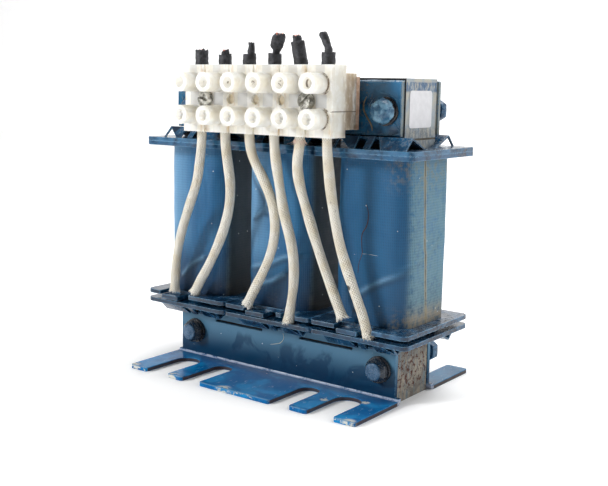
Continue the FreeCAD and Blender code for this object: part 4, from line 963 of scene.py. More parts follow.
def varnished_bolt(name, low, high, dark_sides=False):
    """Bolts and washers went through the same dip: glossy and lumpy, painted shade behind the
    face.
    """
    recipe = Recipe(name)
    place = recipe.place()
    lumps = recipe.noise(place, 2.6, 3.0, 0.5, 0.5)
    fine = recipe.noise(place, 0.7, 4.0, 0.7)
    colour = recipe.paint(low, high, recipe.fade(lumps, 0.36, 0.66))
    if dark_sides:
        _, y, _ = recipe.axes(place)
        face = box_mm("bolt_lower_right")[0][1] + FACE_DEPTH
        # Painted shade: the head's sides behind the face, dark blue flecked with brown.
        behind = recipe.fade(y, face + 0.3, face + 0.9)
        sides = recipe.paint(srgb(26, 42, 58), srgb(96, 92, 84), recipe.fade(fine, 0.5, 0.7))
        colour = recipe.paint(colour, sides, behind)
    rough = recipe.level(0.14, 0.4, fine)
    normal = recipe.bump(lumps, 0.35, 0.6)
    normal = recipe.bump(fine, 0.03, 0.5, normal)
    return recipe.finish(Base_Color=colour, Roughness=rough, Normal=normal)


# The domed head's pale colours are a lit copy of the varnish: a painted highlight.
dome_finish = varnished_bolt("varnished_dome", srgb(44, 92, 126), srgb(116, 160, 186))
bolt_finish = varnished_bolt("varnished_bolt", srgb(22, 62, 94), srgb(60, 104, 138))
head_finish = varnished_bolt("varnished_head", srgb(40, 74, 104), srgb(66, 100, 130), True)
washer_finish = varnished_bolt("varnished_washer", srgb(14, 22, 34), srgb(58, 52, 48))
tell(dome_finish, bolt_finish, head_finish, washer_finish)

# %% [markdown]
# ## Board, label and what clings to the varnish
#
# The rest needs no more than two shades of its colour and a slight relief: the tan board
# behind the strip, the white label, the pads in the core's gaps, the copper wire inside, the
# brown drip, a hair and some fluff.

# %% Plain finishes


def plain(name, low, high, size, rough, relief=0.05):
    """Two shades of one colour in blotches about size long, with the same slight relief."""
    recipe = Recipe(name)
    place = recipe.place()
    tone = recipe.noise(place, size, 4.0, 0.65)
    colour = recipe.paint(low, high, recipe.fade(tone, 0.38, 0.64))
    normal = recipe.bump(tone, relief, 0.6)
    return recipe.finish(Base_Color=colour, Roughness=rough, Normal=normal)


hole_finish = plain("hole_floor", srgb(226, 210, 178), srgb(242, 232, 210), 1.6, 0.8)
hair_finish = plain("dark_hair", srgb(40, 20, 18), srgb(64, 32, 28), 2.0, 0.5)
fluff_finish = plain("pale_fluff", srgb(196, 200, 190), srgb(214, 216, 204), 2.0, 0.7)
drip_finish = plain("brown_drip", srgb(96, 82, 60), srgb(134, 116, 88), 1.5, 0.3)
board_finish = plain("tan_laminate", srgb(178, 142, 116), srgb(206, 176, 152), 3.0, 0.7)
label_finish = plain("white_label", srgb(214, 214, 217), srgb(222, 222, 225), 4.0, 0.5, 0.02)
pad_finish = plain("gap_pad", srgb(84, 78, 68), srgb(104, 98, 86), 2.0, 0.8)
wire_finish = plain("enamelled_wire", srgb(150, 70, 40), srgb(184, 98, 62), 1.0, 0.4)
tell(hole_finish, board_finish, label_finish)

# %% [markdown]
# ## Softened copies of the solids
#
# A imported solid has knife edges, and real folded steel or moulded plastic never has. Each
# shown solid could be modelled again, but a merged copy with a narrow bevel keeps the solid's
# exact form and lets the light catch its edges. The copy then stands for the solid.

# %% Bevelled copies
BEVEL_ANGLE = math.radians(34)
SAME_POINT = 2e-6
FLAT_ANGLE = math.radians(0.6)


def softened(node, finish, width, segments=2):
    """The node's mesh with its loose triangles merged, flat faces joined and edges rounded."""
    work = bmesh.new()
    work.from_mesh(NODES[node].data)
    bmesh.ops.remove_doubles(work, verts=work.verts[:], dist=SAME_POINT)
    bmesh.ops.dissolve_limit(work, angle_limit=FLAT_ANGLE, verts=work.verts[:],
                             edges=work.edges[:])
    mesh = bpy.data.meshes.new(node + "_soft")
    work.to_mesh(mesh)
    work.free()
    mesh.shade_smooth()
    mesh.set_sharp_from_angle(angle=BEVEL_ANGLE)
    mesh.materials.clear()
    mesh.materials.append(finish)
    piece = put_object(node + "_soft", mesh)
    bevel = piece.modifiers.new("edge", "BEVEL")
    bevel.width = width * MM
    bevel.segments = segments
    bevel.limit_method = "ANGLE"
    bevel.angle_limit = BEVEL_ANGLE
    bevel.harden_normals = True
    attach(piece, "root")
    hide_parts(node)
    return piece


def repaint(node, finish):
    """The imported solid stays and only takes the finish."""
    mesh = NODES[node].data
    mesh.materials.clear()
    mesh.materials.append(finish)


SIDES = ("left", "centre", "right")
# Finish, width of the rounded edge in millimetres, and the nodes that get both
SOFTENED = [
    (foot_finish, 0.35, ("bracket_front", "bracket_rear")),
    (clamp_finish, 0.45, ("clamp_plate_front", "clamp_plate_rear")),
    (core_finish, 0.2, ("core_e_stack", "core_i_stack")),
    (plate_finish, 0.22, ["end_plate_%s_%s" % (level, side) for level in ("top", "bottom")
                          for side in SIDES]),
    (bobbin_finish, 0.4, ["bobbin_" + side for side in SIDES]),
    (nylon_finish, 0.35, ("terminal_block",)),
    (board_finish, 0.2, ("terminal_board",)),
    (label_finish, 0.08, ("blank_label",)),
    (face_finish, 0.12, ("clamp_screws",)),
]
soft_pieces = {name: softened(name, finish, width)
               for finish, width, names in SOFTENED for name in names}

CORNERS = ("upper_left", "upper_right", "lower_left", "lower_right")
REPAINTED = {
    bolt_finish: ["nut_" + corner for corner in CORNERS],
    slotted_finish: ["mount_screw_left", "mount_screw_right"],
    screw_finish: ["board_spacers"],
    brass_finish: ["terminal_inserts"],
    pad_finish: ["gap_spacers"],
    wire_finish: ["winding_" + side for side in SIDES],
}
for finish, names in REPAINTED.items():
    for name in names:
        repaint(name, finish)
print("softened", len(soft_pieces), "nodes, repainted", sum(map(len, REPAINTED.values())))

# %% [markdown]
# ## Bolts drowned in varnish
#
# A packed bolt is a clean hexagon, but the dip has rounded these heads until a disc, a soft
# collar and the washers behind are all that show. A turned shape is a profile swept around an
# axis: each row here has a radius, a depth and a share that says how much of a hexagon is left
# in it. The heads sit a little off their places, as they do in the photograph.

# %% Turned heads and washers
HEAD_COLUMNS = 48
HEAD_HEIGHT = 4.0
SHANK_RADIUS = 3.0
# Radius, depth behind the front face, and share of the hexagon, front to back
DIPPED_HEAD = [(2.4, 0.0, 0.0), (2.7, 0.12, 0.0), (3.2, 0.04, 0.0), (3.6, 0.12, 0.0),
               (3.85, 0.4, 0.0), (3.95, 1.1, 0.1), (4.5, 1.7, 0.4), (4.9, 2.2, 0.6),
               (5.0, 3.0, 0.5), (5.5, 3.4, 0.1)]
DOMED_HEAD = [(1.4, -0.3, 0.0), (2.3, -0.05, 0.0), (2.7, 0.1, 0.0), (3.3, 0.0, 0.0),
              (3.9, 0.2, 0.05), (4.3, 0.7, 0.1), (4.6, 1.4, 0.2), (4.9, 2.2, 0.2),
              (5.1, 3.0, 0.1), (5.4, 3.4, 0.0)]
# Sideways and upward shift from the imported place, and how far the front face is pushed back
HEAD_SHIFTS = {"upper_left": (0.0, 0.0, 0.6), "upper_right": (0.8, 1.3, 0.4),
               "lower_left": (0.5, -0.9, 1.1), "lower_right": (1.1, -0.4, 1.2)}


def turned(name, rows, centre, finish, lumps=0.0, seed=0):
    """Each row's radius times (1 - share + share * hexagon) around the front-to-back axis.

    The hexagon's reach is one over the cosine of the angle from the middle of its flat.
    """
    rows = np.array(rows, float)
    turn = full_turn(HEAD_COLUMNS)
    flat = np.abs((turn + math.pi / 6) % (math.pi / 3) - math.pi / 6)
    hexagon = 1 / np.cos(flat)
    share = rows[:, 2:3]
    radius = rows[:, :1] * (1 - share + share * hexagon)
    points = np.stack([centre[0] + radius * np.cos(turn),
                       np.broadcast_to(centre[1] + rows[:, 1:2], radius.shape),
                       centre[2] + radius * np.sin(turn)], axis=-1)
    outward = np.stack([np.cos(turn), np.zeros_like(turn), np.sin(turn)], axis=-1)
    points = points + lumps * smooth_noise(points, 3.0, seed)[..., None] * outward
    points[..., 1] += 0.6 * lumps * smooth_noise(points, 2.2, seed + 1)
    caps = np.stack([points[0].mean(axis=0), points[-1].mean(axis=0)])
    everything = np.concatenate([points.reshape(-1, 3), caps]) * MM
    piece = put_mesh(name, everything, closed_faces(len(rows), HEAD_COLUMNS), finish)
    piece.data.set_sharp_from_angle(angle=math.radians(40))
    return piece


def bolt(corner):
    """Head and shank in one turned piece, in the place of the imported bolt."""
    node = "bolt_" + corner
    low, high = box_mm(node)
    aside, above, back = HEAD_SHIFTS[corner]
    centre = ((low[0] + high[0]) / 2 + aside, low[1] + back, (low[2] + high[2]) / 2 + above)
    domed = corner == "upper_right"
    head = DOMED_HEAD if domed else DIPPED_HEAD
    length = high[1] - low[1] - back
    under = HEAD_HEIGHT - back + 0.3
    rows = head + [(head[-1][0], under, 0.0), (SHANK_RADIUS, under + 0.05, 0.0),
                   (SHANK_RADIUS, length - 0.5, 0.0), (SHANK_RADIUS - 0.4, length, 0.0)]
    piece = turned("dipped_bolt_" + corner, rows, centre, dome_finish if domed else head_finish,
                   lumps=0.16 if domed else 0.04, seed=7)
    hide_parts(node)
    return centre


def washer(name, centre, near, far, radius, seed):
    """A flat ring with soft edges; its middle is closed, since the bolt fills it."""
    rows = [(radius - 0.5, near, 0.0), (radius - 0.1, near + 0.1, 0.0), (radius, near + 0.4, 0.0),
            (radius, far - 0.4, 0.0), (radius - 0.1, far - 0.1, 0.0), (radius - 0.5, far, 0.0)]
    rows = [(r, depth - centre[1], share) for r, depth, share in rows]
    return turned(name, rows, centre, washer_finish, lumps=0.08, seed=seed)


WASHER_DEPTH = 1.6
FLAT_RADIUS = 6.0
SPRING_RADIUS = 5.4
# The photograph shows the bolts' ends past the yoke's right side, further back than packed
TAIL_END = 28.4
LOCK_NUT = 4.6
WALL_FACE = box_mm("flat_washers")[1][1] - WASHER_DEPTH


def fastener(corner, number):
    """A bolt with its three washers and, behind, its end under a second nut."""
    centre = bolt(corner)
    front = -WALL_FACE - WASHER_DEPTH
    plate = washer("flat_washer_front_" + corner, centre, front, -WALL_FACE, FLAT_RADIUS, number)
    spring = washer("spring_washer_" + corner, centre, front - WASHER_DEPTH, front,
                    SPRING_RADIUS, 10 + number)
    rear = washer("flat_washer_rear_" + corner, centre, WALL_FACE, WALL_FACE + WASHER_DEPTH,
                  FLAT_RADIUS, 20 + number)
    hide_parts("flat_washers")
    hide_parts("spring_washers")
    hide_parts("flat_washers")
    start = box_mm("bolt_" + corner)[1][1] - 1.0
    end = TAIL_END - start
    nut = end - LOCK_NUT
    rows = [(2.9, 0.0, 0.0), (2.9, nut, 0.0), (4.7, nut + 0.1, 0.6), (5.0, nut + 0.7, 0.8),
            (5.0, end - 0.7, 0.8), (4.3, end, 0.3)]
    turned("bolt_end_" + corner, rows, (centre[0], start, centre[2]), bolt_finish, 0.05,
           30 + number)


for number, corner in enumerate(CORNERS):
    fastener(corner, number)
print("bolts", len(CORNERS), "and washers", 3 * len(CORNERS))

# %% [markdown]
# ## Strings
#
# The dip left a raised rim around the front clamp plate and a few runs beside its bolt, and a
# dark hair clings to the right coil. Each is a thin tube, half sunk in what carries it, along
# a line that passes smoothly through a few chosen points.

# %% Thin tubes along a line
STRING_COLUMNS = 8


def eased(points, count):
    """A smooth line through the points: a Catmull-Rom spline, a cubic between each pair."""
    knots = np.asarray(points, float)
    knots = np.vstack([2 * knots[0] - knots[1], knots, 2 * knots[-1] - knots[-2]])
    place = np.linspace(0, len(points) - 1, count)
    start = np.minimum(place.astype(int), len(points) - 2)
    t = (place - start)[:, None]
    a, b, c, d = (knots[start + step] for step in range(4))
    return 0.5 * (2 * b + (c - a) * t + (2 * a - 5 * b + 4 * c - d) * t ** 2
                  + (3 * b - a - 3 * c + d) * t ** 3)


def string(name, points, width, height, finish, count=60):
    """A closed flattened tube: width across the surface, height out of it, in millimetres.

    Its ends grow thin as a sine of the share of the way along, raised to a small power.
    """
    line = eased(points, count)
    out, across = line_frames(line)
    taper = np.sin(math.pi * np.linspace(0.04, 0.96, count)) ** 0.4
    ring = ring_around(width / 2 * across, height * out, full_turn(STRING_COLUMNS))
    wall = line[:, None] + ring * taper[:, None, None]
    points = np.concatenate([wall.reshape(-1, 3), line[:1], line[-1:]]) * MM
    return put_mesh(name, points, closed_faces(count, STRING_COLUMNS), finish)


# %% [markdown]
# ## The rim of the clamp plate
#
# Surface tension drew the wet varnish into a bead just inside the plate's edge. It is a ring,
# so the outline of a rounded rectangle serves as its line, and it needs no ends.

# %% Rim
CLAMP = box_mm("clamp_plate_front")
RIM_INSET = 0.55
RIM_CORNER = 1.6
RIM_WIDTH, RIM_HEIGHT = 0.5, 0.32


def clamp_rim():
    """An oval ring carried along the outline, swelling with a soft noise."""
    middle = (CLAMP[0] + CLAMP[1]) / 2
    half = (CLAMP[1] - CLAMP[0]) / 2 - RIM_INSET
    loop, outward = rounded_outline(half[0], half[2], RIM_CORNER)
    rows = len(loop)
    place = np.stack([loop[:, 0] + middle[0], np.full(rows, CLAMP[0][1]),
                      loop[:, 1] + middle[2]], axis=-1)
    out = np.stack([outward[:, 0], np.zeros(rows), outward[:, 1]], axis=-1)
    swell = 1 + 0.25 * smooth_noise(place, 9.0, 3)[:, None, None]
    ring = ring_around(RIM_WIDTH * out, -RIM_HEIGHT * FRONT[None], full_turn(STRING_COLUMNS))
    points = place[:, None] + ring * swell
    faces = grid_faces(rows, STRING_COLUMNS, closed_rows=True)
    return put_mesh("clamp_rim", points.reshape(-1, 3) * MM, faces, clamp_finish)


rim = clamp_rim()
print("rim", len(rim.data.polygons), "faces")

# %% [markdown]
# ## Runs, hair and fluff
#
# The lines below were chosen on the photograph, across and up in millimetres, and lie on the
# face that carries them: the clamp plate, the right coil or the front foot's wall.

# %% Runs, hair and fluff
FACE = CLAMP[0][1]
# Line, width, height and finish
RUNS = {
    "run_left": ([(44.6, 131.6), (43.2, 128.4), (43.6, 125.2), (45.6, 122.2), (47.4, 119.4),
                  (47.8, 117.2)], 0.9, 0.4, drip_finish),
    "run_inner": ([(48.2, 131.0), (46.4, 128.6), (45.8, 125.8), (46.8, 122.6)], 0.6, 0.3,
                  clamp_finish),
    "run_right": ([(51.5, 133.2), (55.2, 132.6), (58.6, 130.8), (60.0, 127.6), (59.8, 123.6)],
                  0.7, 0.35, clamp_finish),
    "run_low": ([(56.5, 119.2), (58.8, 120.6), (60.4, 118.6), (61.2, 117.0)], 0.6, 0.3,
                clamp_finish),
}
for name, (path, width, height, finish) in RUNS.items():
    string(name, [(x, FACE, z) for x, z in path], width, height, finish)

CROWN = 0.35
COIL_FACE = box_mm("wrap_right")[0][1] - CROWN
HAIR = [(48.8, 86.7), (50.0, 82.1), (49.1, 77.3), (47.0, 73.6), (47.0, 68.8), (47.3, 65.3),
        (45.8, 61.0), (45.4, 56.7)]
string("hair", [(x, COIL_FACE, z) for x, z in HAIR], 0.5, 0.2, hair_finish, count=90)
string("hair_across", [(43.2, COIL_FACE, 64.5), (49.0, COIL_FACE, 65.3), (55.7, COIL_FACE, 65.2)],
       0.2, 0.1, fluff_finish)
WALL_FLUFF = [(1.6, 21.6), (2.0, 19.2), (0.2, 16.8), (-2.6, 15.8), (-5.8, 15.0)]
string("fluff", [(x, -WALL_FACE - 0.1, z) for x, z in WALL_FLUFF], 0.3, 0.15, fluff_finish)
print("runs", len(RUNS), "and three loose threads")

# %% [markdown]
# ## Holes of the strip
#
# Behind the small holes between the poles the photograph shows a pale brown floor, which the
# packed strip leaves open. A short plug stands deep in each.

# %% Hole floors
PLUG_DEPTHS = (-36.4, -30.0)
PLUG_RADIUS = 2.1
for number in range(1, 4):
    centre = (FIRST_POLE + POLE_PITCH * (number + 0.5), PLUG_DEPTHS[0], STRIP_MIDDLE)
    rows = [(PLUG_RADIUS - 0.3, 0.0, 0.0), (PLUG_RADIUS, 0.2, 0.0),
            (PLUG_RADIUS, PLUG_DEPTHS[1] - PLUG_DEPTHS[0], 0.0)]
    turned("hole_floor_%d" % number, rows, centre, hole_finish)
print("plugs", PLUG_DEPTHS[1] - PLUG_DEPTHS[0], "mm deep")

# %% [markdown]
# ## Coil wrappings
#
# A wrapping is a tall tube with rounded corners. Its outline around the coil is worked out
# once, four quarter circles joined by flats, and every height repeats it, pushed out or in
# along its normal. The pushes are the tape's life: a slight crown, creases where it was
# pulled tight, and a step where its end was stuck down.

# %% Wrapping outline
WRAP_ROWS = 150
WRAP_CORNER = 8.1
# How much of the room between winding and skin the tape fills
TAPE_SHARE = 0.6


def distance_to_line(points, line):
    """Distance of each flat point to the nearest part of a polyline, and on which side it is."""
    line = np.asarray(line, float)
    starts, steps = line[:-1], np.diff(line, axis=0)
    offset = points[..., None, :] - starts
    share = np.clip((offset * steps).sum(-1) / (steps ** 2).sum(-1), 0, 1)
    gaps = np.linalg.norm(offset - share[..., None] * steps, axis=-1)
    best = gaps.argmin(axis=-1)
    sides = steps[..., 0] * offset[..., 1] - steps[..., 1] * offset[..., 0]
    side = np.sign(np.take_along_axis(sides, best[..., None], -1)[..., 0])
    return gaps.min(axis=-1), side


# %% [markdown]
# ## Creases in the tape
#
# Where the tape was pulled tight it folded into slanting creases that catch the light. Each
# is a line on the coil's face with a ridge along it, and the tape below it bulges a little.
# The height of the ridge falls off as a bell curve of the distance to the line.

# %% Crease lines
# Creases on the front of each coil, as points across and up in millimetres: the line, how
# high its ridge stands, how wide it is, and how far the tape below it bulges
CREASES = {
    "left": [([(-58.0, 43.0), (-54.5, 46.5), (-51.9, 48.9), (-44.6, 52.8)], 0.5, 1.3, 0.4)],
    "centre": [([(-12.5, 93.9), (-8.5, 89.2), (-5.3, 83.9), (-4.6, 79.0)], 0.45, 0.7, 0.0),
               ([(-12.0, 76.0), (-5.6, 81.1)], 0.4, 0.8, 0.0),
               ([(-14.0, 52.0), (-3.1, 54.9), (4.6, 58.4), (12.0, 60.5)], 0.45, 1.1, 0.5),
               ([(-15.0, 42.5), (-8.7, 44.4), (-0.9, 47.2), (5.4, 50.9)], 0.5, 1.1, 0.5)],
    "right": [([(44.0, 42.0), (47.1, 48.5), (53.9, 53.0), (62.0, 56.5), (68.0, 60.2)],
               0.5, 1.2, 0.7)],
}
# The same on the right side of the right coil: points front to back and up
SIDE_CREASE = [(-19.0, 60.2), (-16.3, 61.6), (-7.4, 64.5), (-3.4, 65.8), (4.0, 70.0)]
SEAM = [(-6.2, 106.0), (-5.4, 77.8), (-4.1, 59.9), (-1.5, 34.0)]


def crease(points, line, height, width, bulge):
    """A soft ridge along the line, with the tape on the line's lower side pushed out."""
    gap, side = distance_to_line(points, line)
    ridge = height * np.exp(-(gap / width) ** 2)
    below = bulge * (side < 0) * np.exp(-(gap / (9 * width)) ** 2) * (1 - np.exp(-gap / width))
    return ridge + below


print("creases", {side: len(lines) for side, lines in CREASES.items()})

# %% [markdown]
# ## Outer and inner wall
#
# The outer wall takes all the pushes. The inner wall is the plain outline, set in by the
# tape's thickness, so each wrapping is a closed shell with a rim above and below. A painted
# highlight along each crease and painted shade in the hollow below it are kept as two values
# at each point, and the finish paints them.

# %% Wrapped coils


def wrapping(side):
    """The tape on one coil: the outline at every height, pushed along its normal."""
    node = "wrap_" + side
    low, high = box_mm(node)
    centre = (low + high) / 2
    half = (high - low) / 2
    skin = (high[0] - box_mm("winding_" + side)[1][0]) * TAPE_SHARE
    outline, normal = rounded_outline(half[0], half[1], WRAP_CORNER)
    heights = np.linspace(low[2], high[2], WRAP_ROWS)
    flat = np.broadcast_to(outline, (WRAP_ROWS,) + outline.shape)
    upright = np.broadcast_to(heights[:, None], flat.shape[:2])
    points = np.concatenate([flat + centre[:2], upright[..., None]], axis=-1)
    share = (upright - low[2]) / (high[2] - low[2])
    push = CROWN * np.sin(math.pi * share) * (1 - (normal[:, 0] * normal[:, 1]) ** 2 * 2)
    push = push + 0.07 * smooth_noise(points * (1, 1, 0.5), 13.0, 4)
    push = push + 0.03 * smooth_noise(points * (1, 1, 0.25), 3.0, 5)
    front = np.clip(-normal[:, 1], 0, 1) ** 2
    crest = np.zeros(push.shape)
    hollow = np.zeros(push.shape)
    for line, height, width, bulge in CREASES[side]:
        push = push + front * crease(points[..., (0, 2)], line, height, width, bulge)
        gap, above = distance_to_line(points[..., (0, 2)], line)
        crest = crest + front * np.exp(-((gap + 0.2 * above) / 1.3) ** 2)
        hollow = hollow + front * (above < 0) * np.exp(-((gap - 1.6) / 1.4) ** 2)
    if side == "right":
        beside = np.clip(normal[:, 0], 0, 1) ** 2
        push = push + beside * crease(points[..., 1:], SIDE_CREASE, 0.3, 1.1, 0.35)
        gap, above = distance_to_line(points[..., 1:], SIDE_CREASE)
        crest = crest + 0.6 * beside * np.exp(-(gap / 0.8) ** 2)
        hollow = hollow + 0.6 * beside * (above < 0) * np.exp(-((gap - 1.8) / 1.4) ** 2)
        gap, over = distance_to_line(points[..., 1:], SEAM)
        push = push + beside * np.where(over > 0, 0.28, 0.0) * np.exp(-gap / 9.0)
    push = push * np.minimum(1, np.minimum(share, 1 - share) * 30)
    outer = points.copy()
    outer[..., :2] += push[..., None] * normal
    inner = points.copy()
    inner[..., :2] -= skin * normal
    shell = np.concatenate([outer, inner[::-1]]) * MM
    around = distances(np.vstack([outline, outline[:1]]))
    rows = 2 * WRAP_ROWS
    across = np.broadcast_to(around, (rows + 1, around.size))
    along = np.concatenate([heights, heights[::-1], heights[:1]])
    along = np.broadcast_to(along[:, None], across.shape)
    faces = grid_faces(rows, outline.shape[0], closed_rows=True)
    piece = put_mesh("tape_" + side, shell.reshape(-1, 3), faces, tape_finish,
                     grid_uv(across, along))
    piece.data.set_sharp_from_angle(angle=math.radians(50))
    for word, values in (("crest", crest), ("hollow", hollow)):
        both_walls = np.concatenate([values, np.zeros_like(values)]).clip(0, 1)
        layer = piece.data.attributes.new(word, "FLOAT", "POINT")
        layer.data.foreach_set("value", both_walls.ravel())
    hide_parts(node)
    return piece


wrappings = {side: wrapping(side) for side in SIDES}
print("wrappings", {name: len(piece.data.polygons) for name, piece in wrappings.items()})

# %% [markdown]
# ## Leads
#
# Six sleeved wires leave the strip's lower side and swing down to their coils. A cord is a
# smooth line first: the route's few points steer a spline, and the sleeve is a tube around
# what the spline gives. A bevelled curve would do for a plain cord, but the tube lets the
# sleeve swell, flatten a little and flare at its cut lower end.

# %% Lead routes
LEAD_SIZE = 0.0045
LEAD_TOP = STRIP_BOX[0][2] * MM + 0.0040
STRIP_LOW = STRIP_BOX[0][2] * MM - 0.0037
# Points in metres, from the strip down
LEAD_ROUTES = {
    1: [(-0.0340, -0.0330, 0.1020), (-0.0372, -0.0314, 0.0910), (-0.0444, -0.0295, 0.0785),
        (-0.0510, -0.0278, 0.0660), (-0.0554, -0.0263, 0.0545), (-0.0580, -0.0251, 0.0440),
        (-0.0592, -0.0244, 0.0354)],
    2: [(-0.0174, -0.0330, 0.1020), (-0.0166, -0.0316, 0.0920), (-0.0182, -0.0302, 0.0815),
        (-0.0226, -0.0288, 0.0705), (-0.0289, -0.0274, 0.0595), (-0.0360, -0.0262, 0.0490),
        (-0.0418, -0.0253, 0.0416), (-0.0450, -0.0249, 0.0362)],
    3: [(-0.0022, -0.0331, 0.1033), (0.0034, -0.0320, 0.0942), (0.0076, -0.0308, 0.0840),
        (0.0080, -0.0295, 0.0730), (0.0048, -0.0282, 0.0620), (-0.0016, -0.0268, 0.0510),
        (-0.0074, -0.0258, 0.0424), (-0.0116, -0.0252, 0.0354)],
    4: [(0.0108, -0.0331, 0.1020), (0.0120, -0.0320, 0.0915), (0.0134, -0.0307, 0.0805),
        (0.0162, -0.0293, 0.0695), (0.0174, -0.0280, 0.0585), (0.0164, -0.0269, 0.0475),
        (0.0144, -0.0261, 0.0390), (0.0128, -0.0256, 0.0312)],
    5: [(0.0218, -0.0331, 0.1032), (0.0226, -0.0321, 0.0940), (0.0258, -0.0308, 0.0830),
        (0.0292, -0.0294, 0.0715), (0.0332, -0.0280, 0.0595), (0.0376, -0.0266, 0.0480),
        (0.0418, -0.0256, 0.0376)],
    6: [(0.0384, -0.0331, 0.1020), (0.0391, -0.0320, 0.0915), (0.0405, -0.0307, 0.0805),
        (0.0424, -0.0293, 0.0690), (0.0462, -0.0280, 0.0575), (0.0502, -0.0267, 0.0465),
        (0.0532, -0.0259, 0.0386), (0.0552, -0.0255, 0.0312)],
}

# %% [markdown]
# ## From a few points to an even line
#
# Blender's own NURBS spline turns the route's points into a smooth line, and a curve without
# a bevel gives that line back as a mesh. Its points crowd in the bends, so they are set anew
# at an even step.

# %% Smooth lines
SPLINE_STEPS = 12


def spline_points(name, route):
    """The smooth line that a NURBS spline draws along the route, as an array."""
    data = bpy.data.curves.new(name, "CURVE")
    data.dimensions = "3D"
    data.resolution_u = SPLINE_STEPS
    spline = data.splines.new("NURBS")
    spline.points.add(len(route) - 1)
    spline.points.foreach_set("co", np.hstack([np.array(route), np.ones((len(route), 1))]).ravel())
    spline.order_u = 3
    spline.use_endpoint_u = True
    holder = put_object(name, data)
    mesh = bpy.data.meshes.new_from_object(holder)
    points = np.empty(3 * len(mesh.vertices))
    mesh.vertices.foreach_get("co", points)
    bpy.data.objects.remove(holder)
    bpy.data.meshes.remove(mesh)
    return points.reshape(-1, 3)


def even_line(points, step):
    """The same line with its points an even step apart, and their distances along it."""
    lengths = distances(points)
    stations = np.linspace(0, lengths[-1], int(lengths[-1] / step) + 1)
    line = np.stack([np.interp(stations, lengths, points[:, axis]) for axis in range(3)], axis=1)
    return line, stations


def tube(name, line, stations, radii, columns, finish):
    """A closed tube: each ring is the line's point plus radius times direction, in metres."""
    wall = line[:, None] + radii[..., None] * ring_around(*line_frames(line), full_turn(columns))
    rows = len(line)
    points = np.concatenate([wall.reshape(-1, 3), line[:1], line[-1:]])
    girth = 2 * math.pi * radii.mean() / MM
    around = np.broadcast_to(np.linspace(0, girth, columns + 1), (rows, columns + 1))
    along = np.broadcast_to(stations[:, None] / MM, around.shape)
    caps = np.zeros((2 * columns * 3, 2))
    uv = np.concatenate([grid_uv(around, along), caps])
    return put_mesh(name, points, closed_faces(rows, columns), finish, uv)


print("steps of a spline between two points", SPLINE_STEPS)

# %% [markdown]
# ## Sleeve and frayed ends
#
# A braided sleeve is never quite round: it swells a little here and there, flattens, and
# opens like a small trumpet where it was cut. Seventy thin spikes stand for the broken
# threads at the cut end. Each has only a few faces, because there are so many.

# %% Sleeves and fibres
FLARE = 0.13
FLARE_LENGTH = 0.004


def sleeve_radii(stations, columns, seed):
    """The sleeve's radius: nearly even, with soft swellings and a flare at the cut end."""
    random = np.random.default_rng(seed)
    share = stations / stations[-1]
    swell = sum(random.uniform(-0.03, 0.03) * np.sin(math.pi * wave * share + random.uniform(0, 6))
                for wave in range(3, 11))
    flare = FLARE * np.clip((stations - stations[-1] + FLARE_LENGTH) / FLARE_LENGTH, 0, 1) ** 2
    turn = full_turn(columns)
    oval = 0.025 * np.cos(2 * turn + random.uniform(0, 6))
    ragged = 0.05 * np.sin(5 * turn + seed) * (stations > stations[-1] - 0.001)[:, None]
    return LEAD_SIZE / 2 * (0.985 + (swell + flare)[:, None] + oval + ragged)


def fibres(name, centre, along, radius, length, count, seed, finish, spread=0.5):
    """Short broken threads around a cut end: thin three-sided spikes, leaning outwards."""
    random = np.random.default_rng(seed)
    along = np.asarray(along, float) / np.linalg.norm(along)
    first = np.cross(along, (0.3, 1.0, 0.2))
    first /= np.linalg.norm(first)
    second = np.cross(along, first)
    turn = random.uniform(0, 2 * math.pi, count)
    out = np.cos(turn)[:, None] * first + np.sin(turn)[:, None] * second
    root = np.asarray(centre) + out * radius * random.uniform(0.82, 1.0, count)[:, None]
    root = root - along * 0.0006
    lean = random.uniform(0.05, spread, count)[:, None]
    reach = (length * random.uniform(0.35, 1.0, count))[:, None]
    middle = root + along * reach * 0.6 + out * reach * lean * 0.4
    curl = random.uniform(0.2, 1.4, count)[:, None]
    tip = middle + along * reach * 0.4 + out * reach * lean * curl
    thick = 0.00012 + 0.00008 * random.random(count)
    side = np.cross(out, along)
    corners = np.array([(1.0, 0.0), (-0.5, 0.87), (-0.5, -0.87)])
    rings = []
    for place, share in ((root, 1.0), (middle, 0.8), (tip, 0.25)):
        offset = (corners[:, 0, None, None] * out + corners[:, 1, None, None] * side)
        rings.append(place + offset * (thick * share)[:, None])
    points = np.stack(rings, axis=0).transpose(2, 0, 1, 3).reshape(-1, 3)
    starts = 9 * np.arange(count)
    faces = (grid_faces(3, 3)[None] + starts[:, None, None]).reshape(-1, 4).tolist()
    faces += np.stack([starts + 2, starts + 1, starts], axis=1).tolist()
    faces += np.stack([starts + 6, starts + 7, starts + 8], axis=1).tolist()
    return put_mesh(name, points, faces, finish, smooth=False)


print("a cut end flares over", FLARE_LENGTH / MM, "mm")

# %% [markdown]
# ## From strip to coil
#
# Each lead starts inside its terminal, follows its route and ends on the tape. Its frayed
# threads are made with it.

# %% Leads
LEAD_COLUMNS = 28
LINE_STEP = 0.0007
FRAY_THREADS = 70
# The fifth lead is torn where it leaves the strip
RAGGED_LEAD = 5


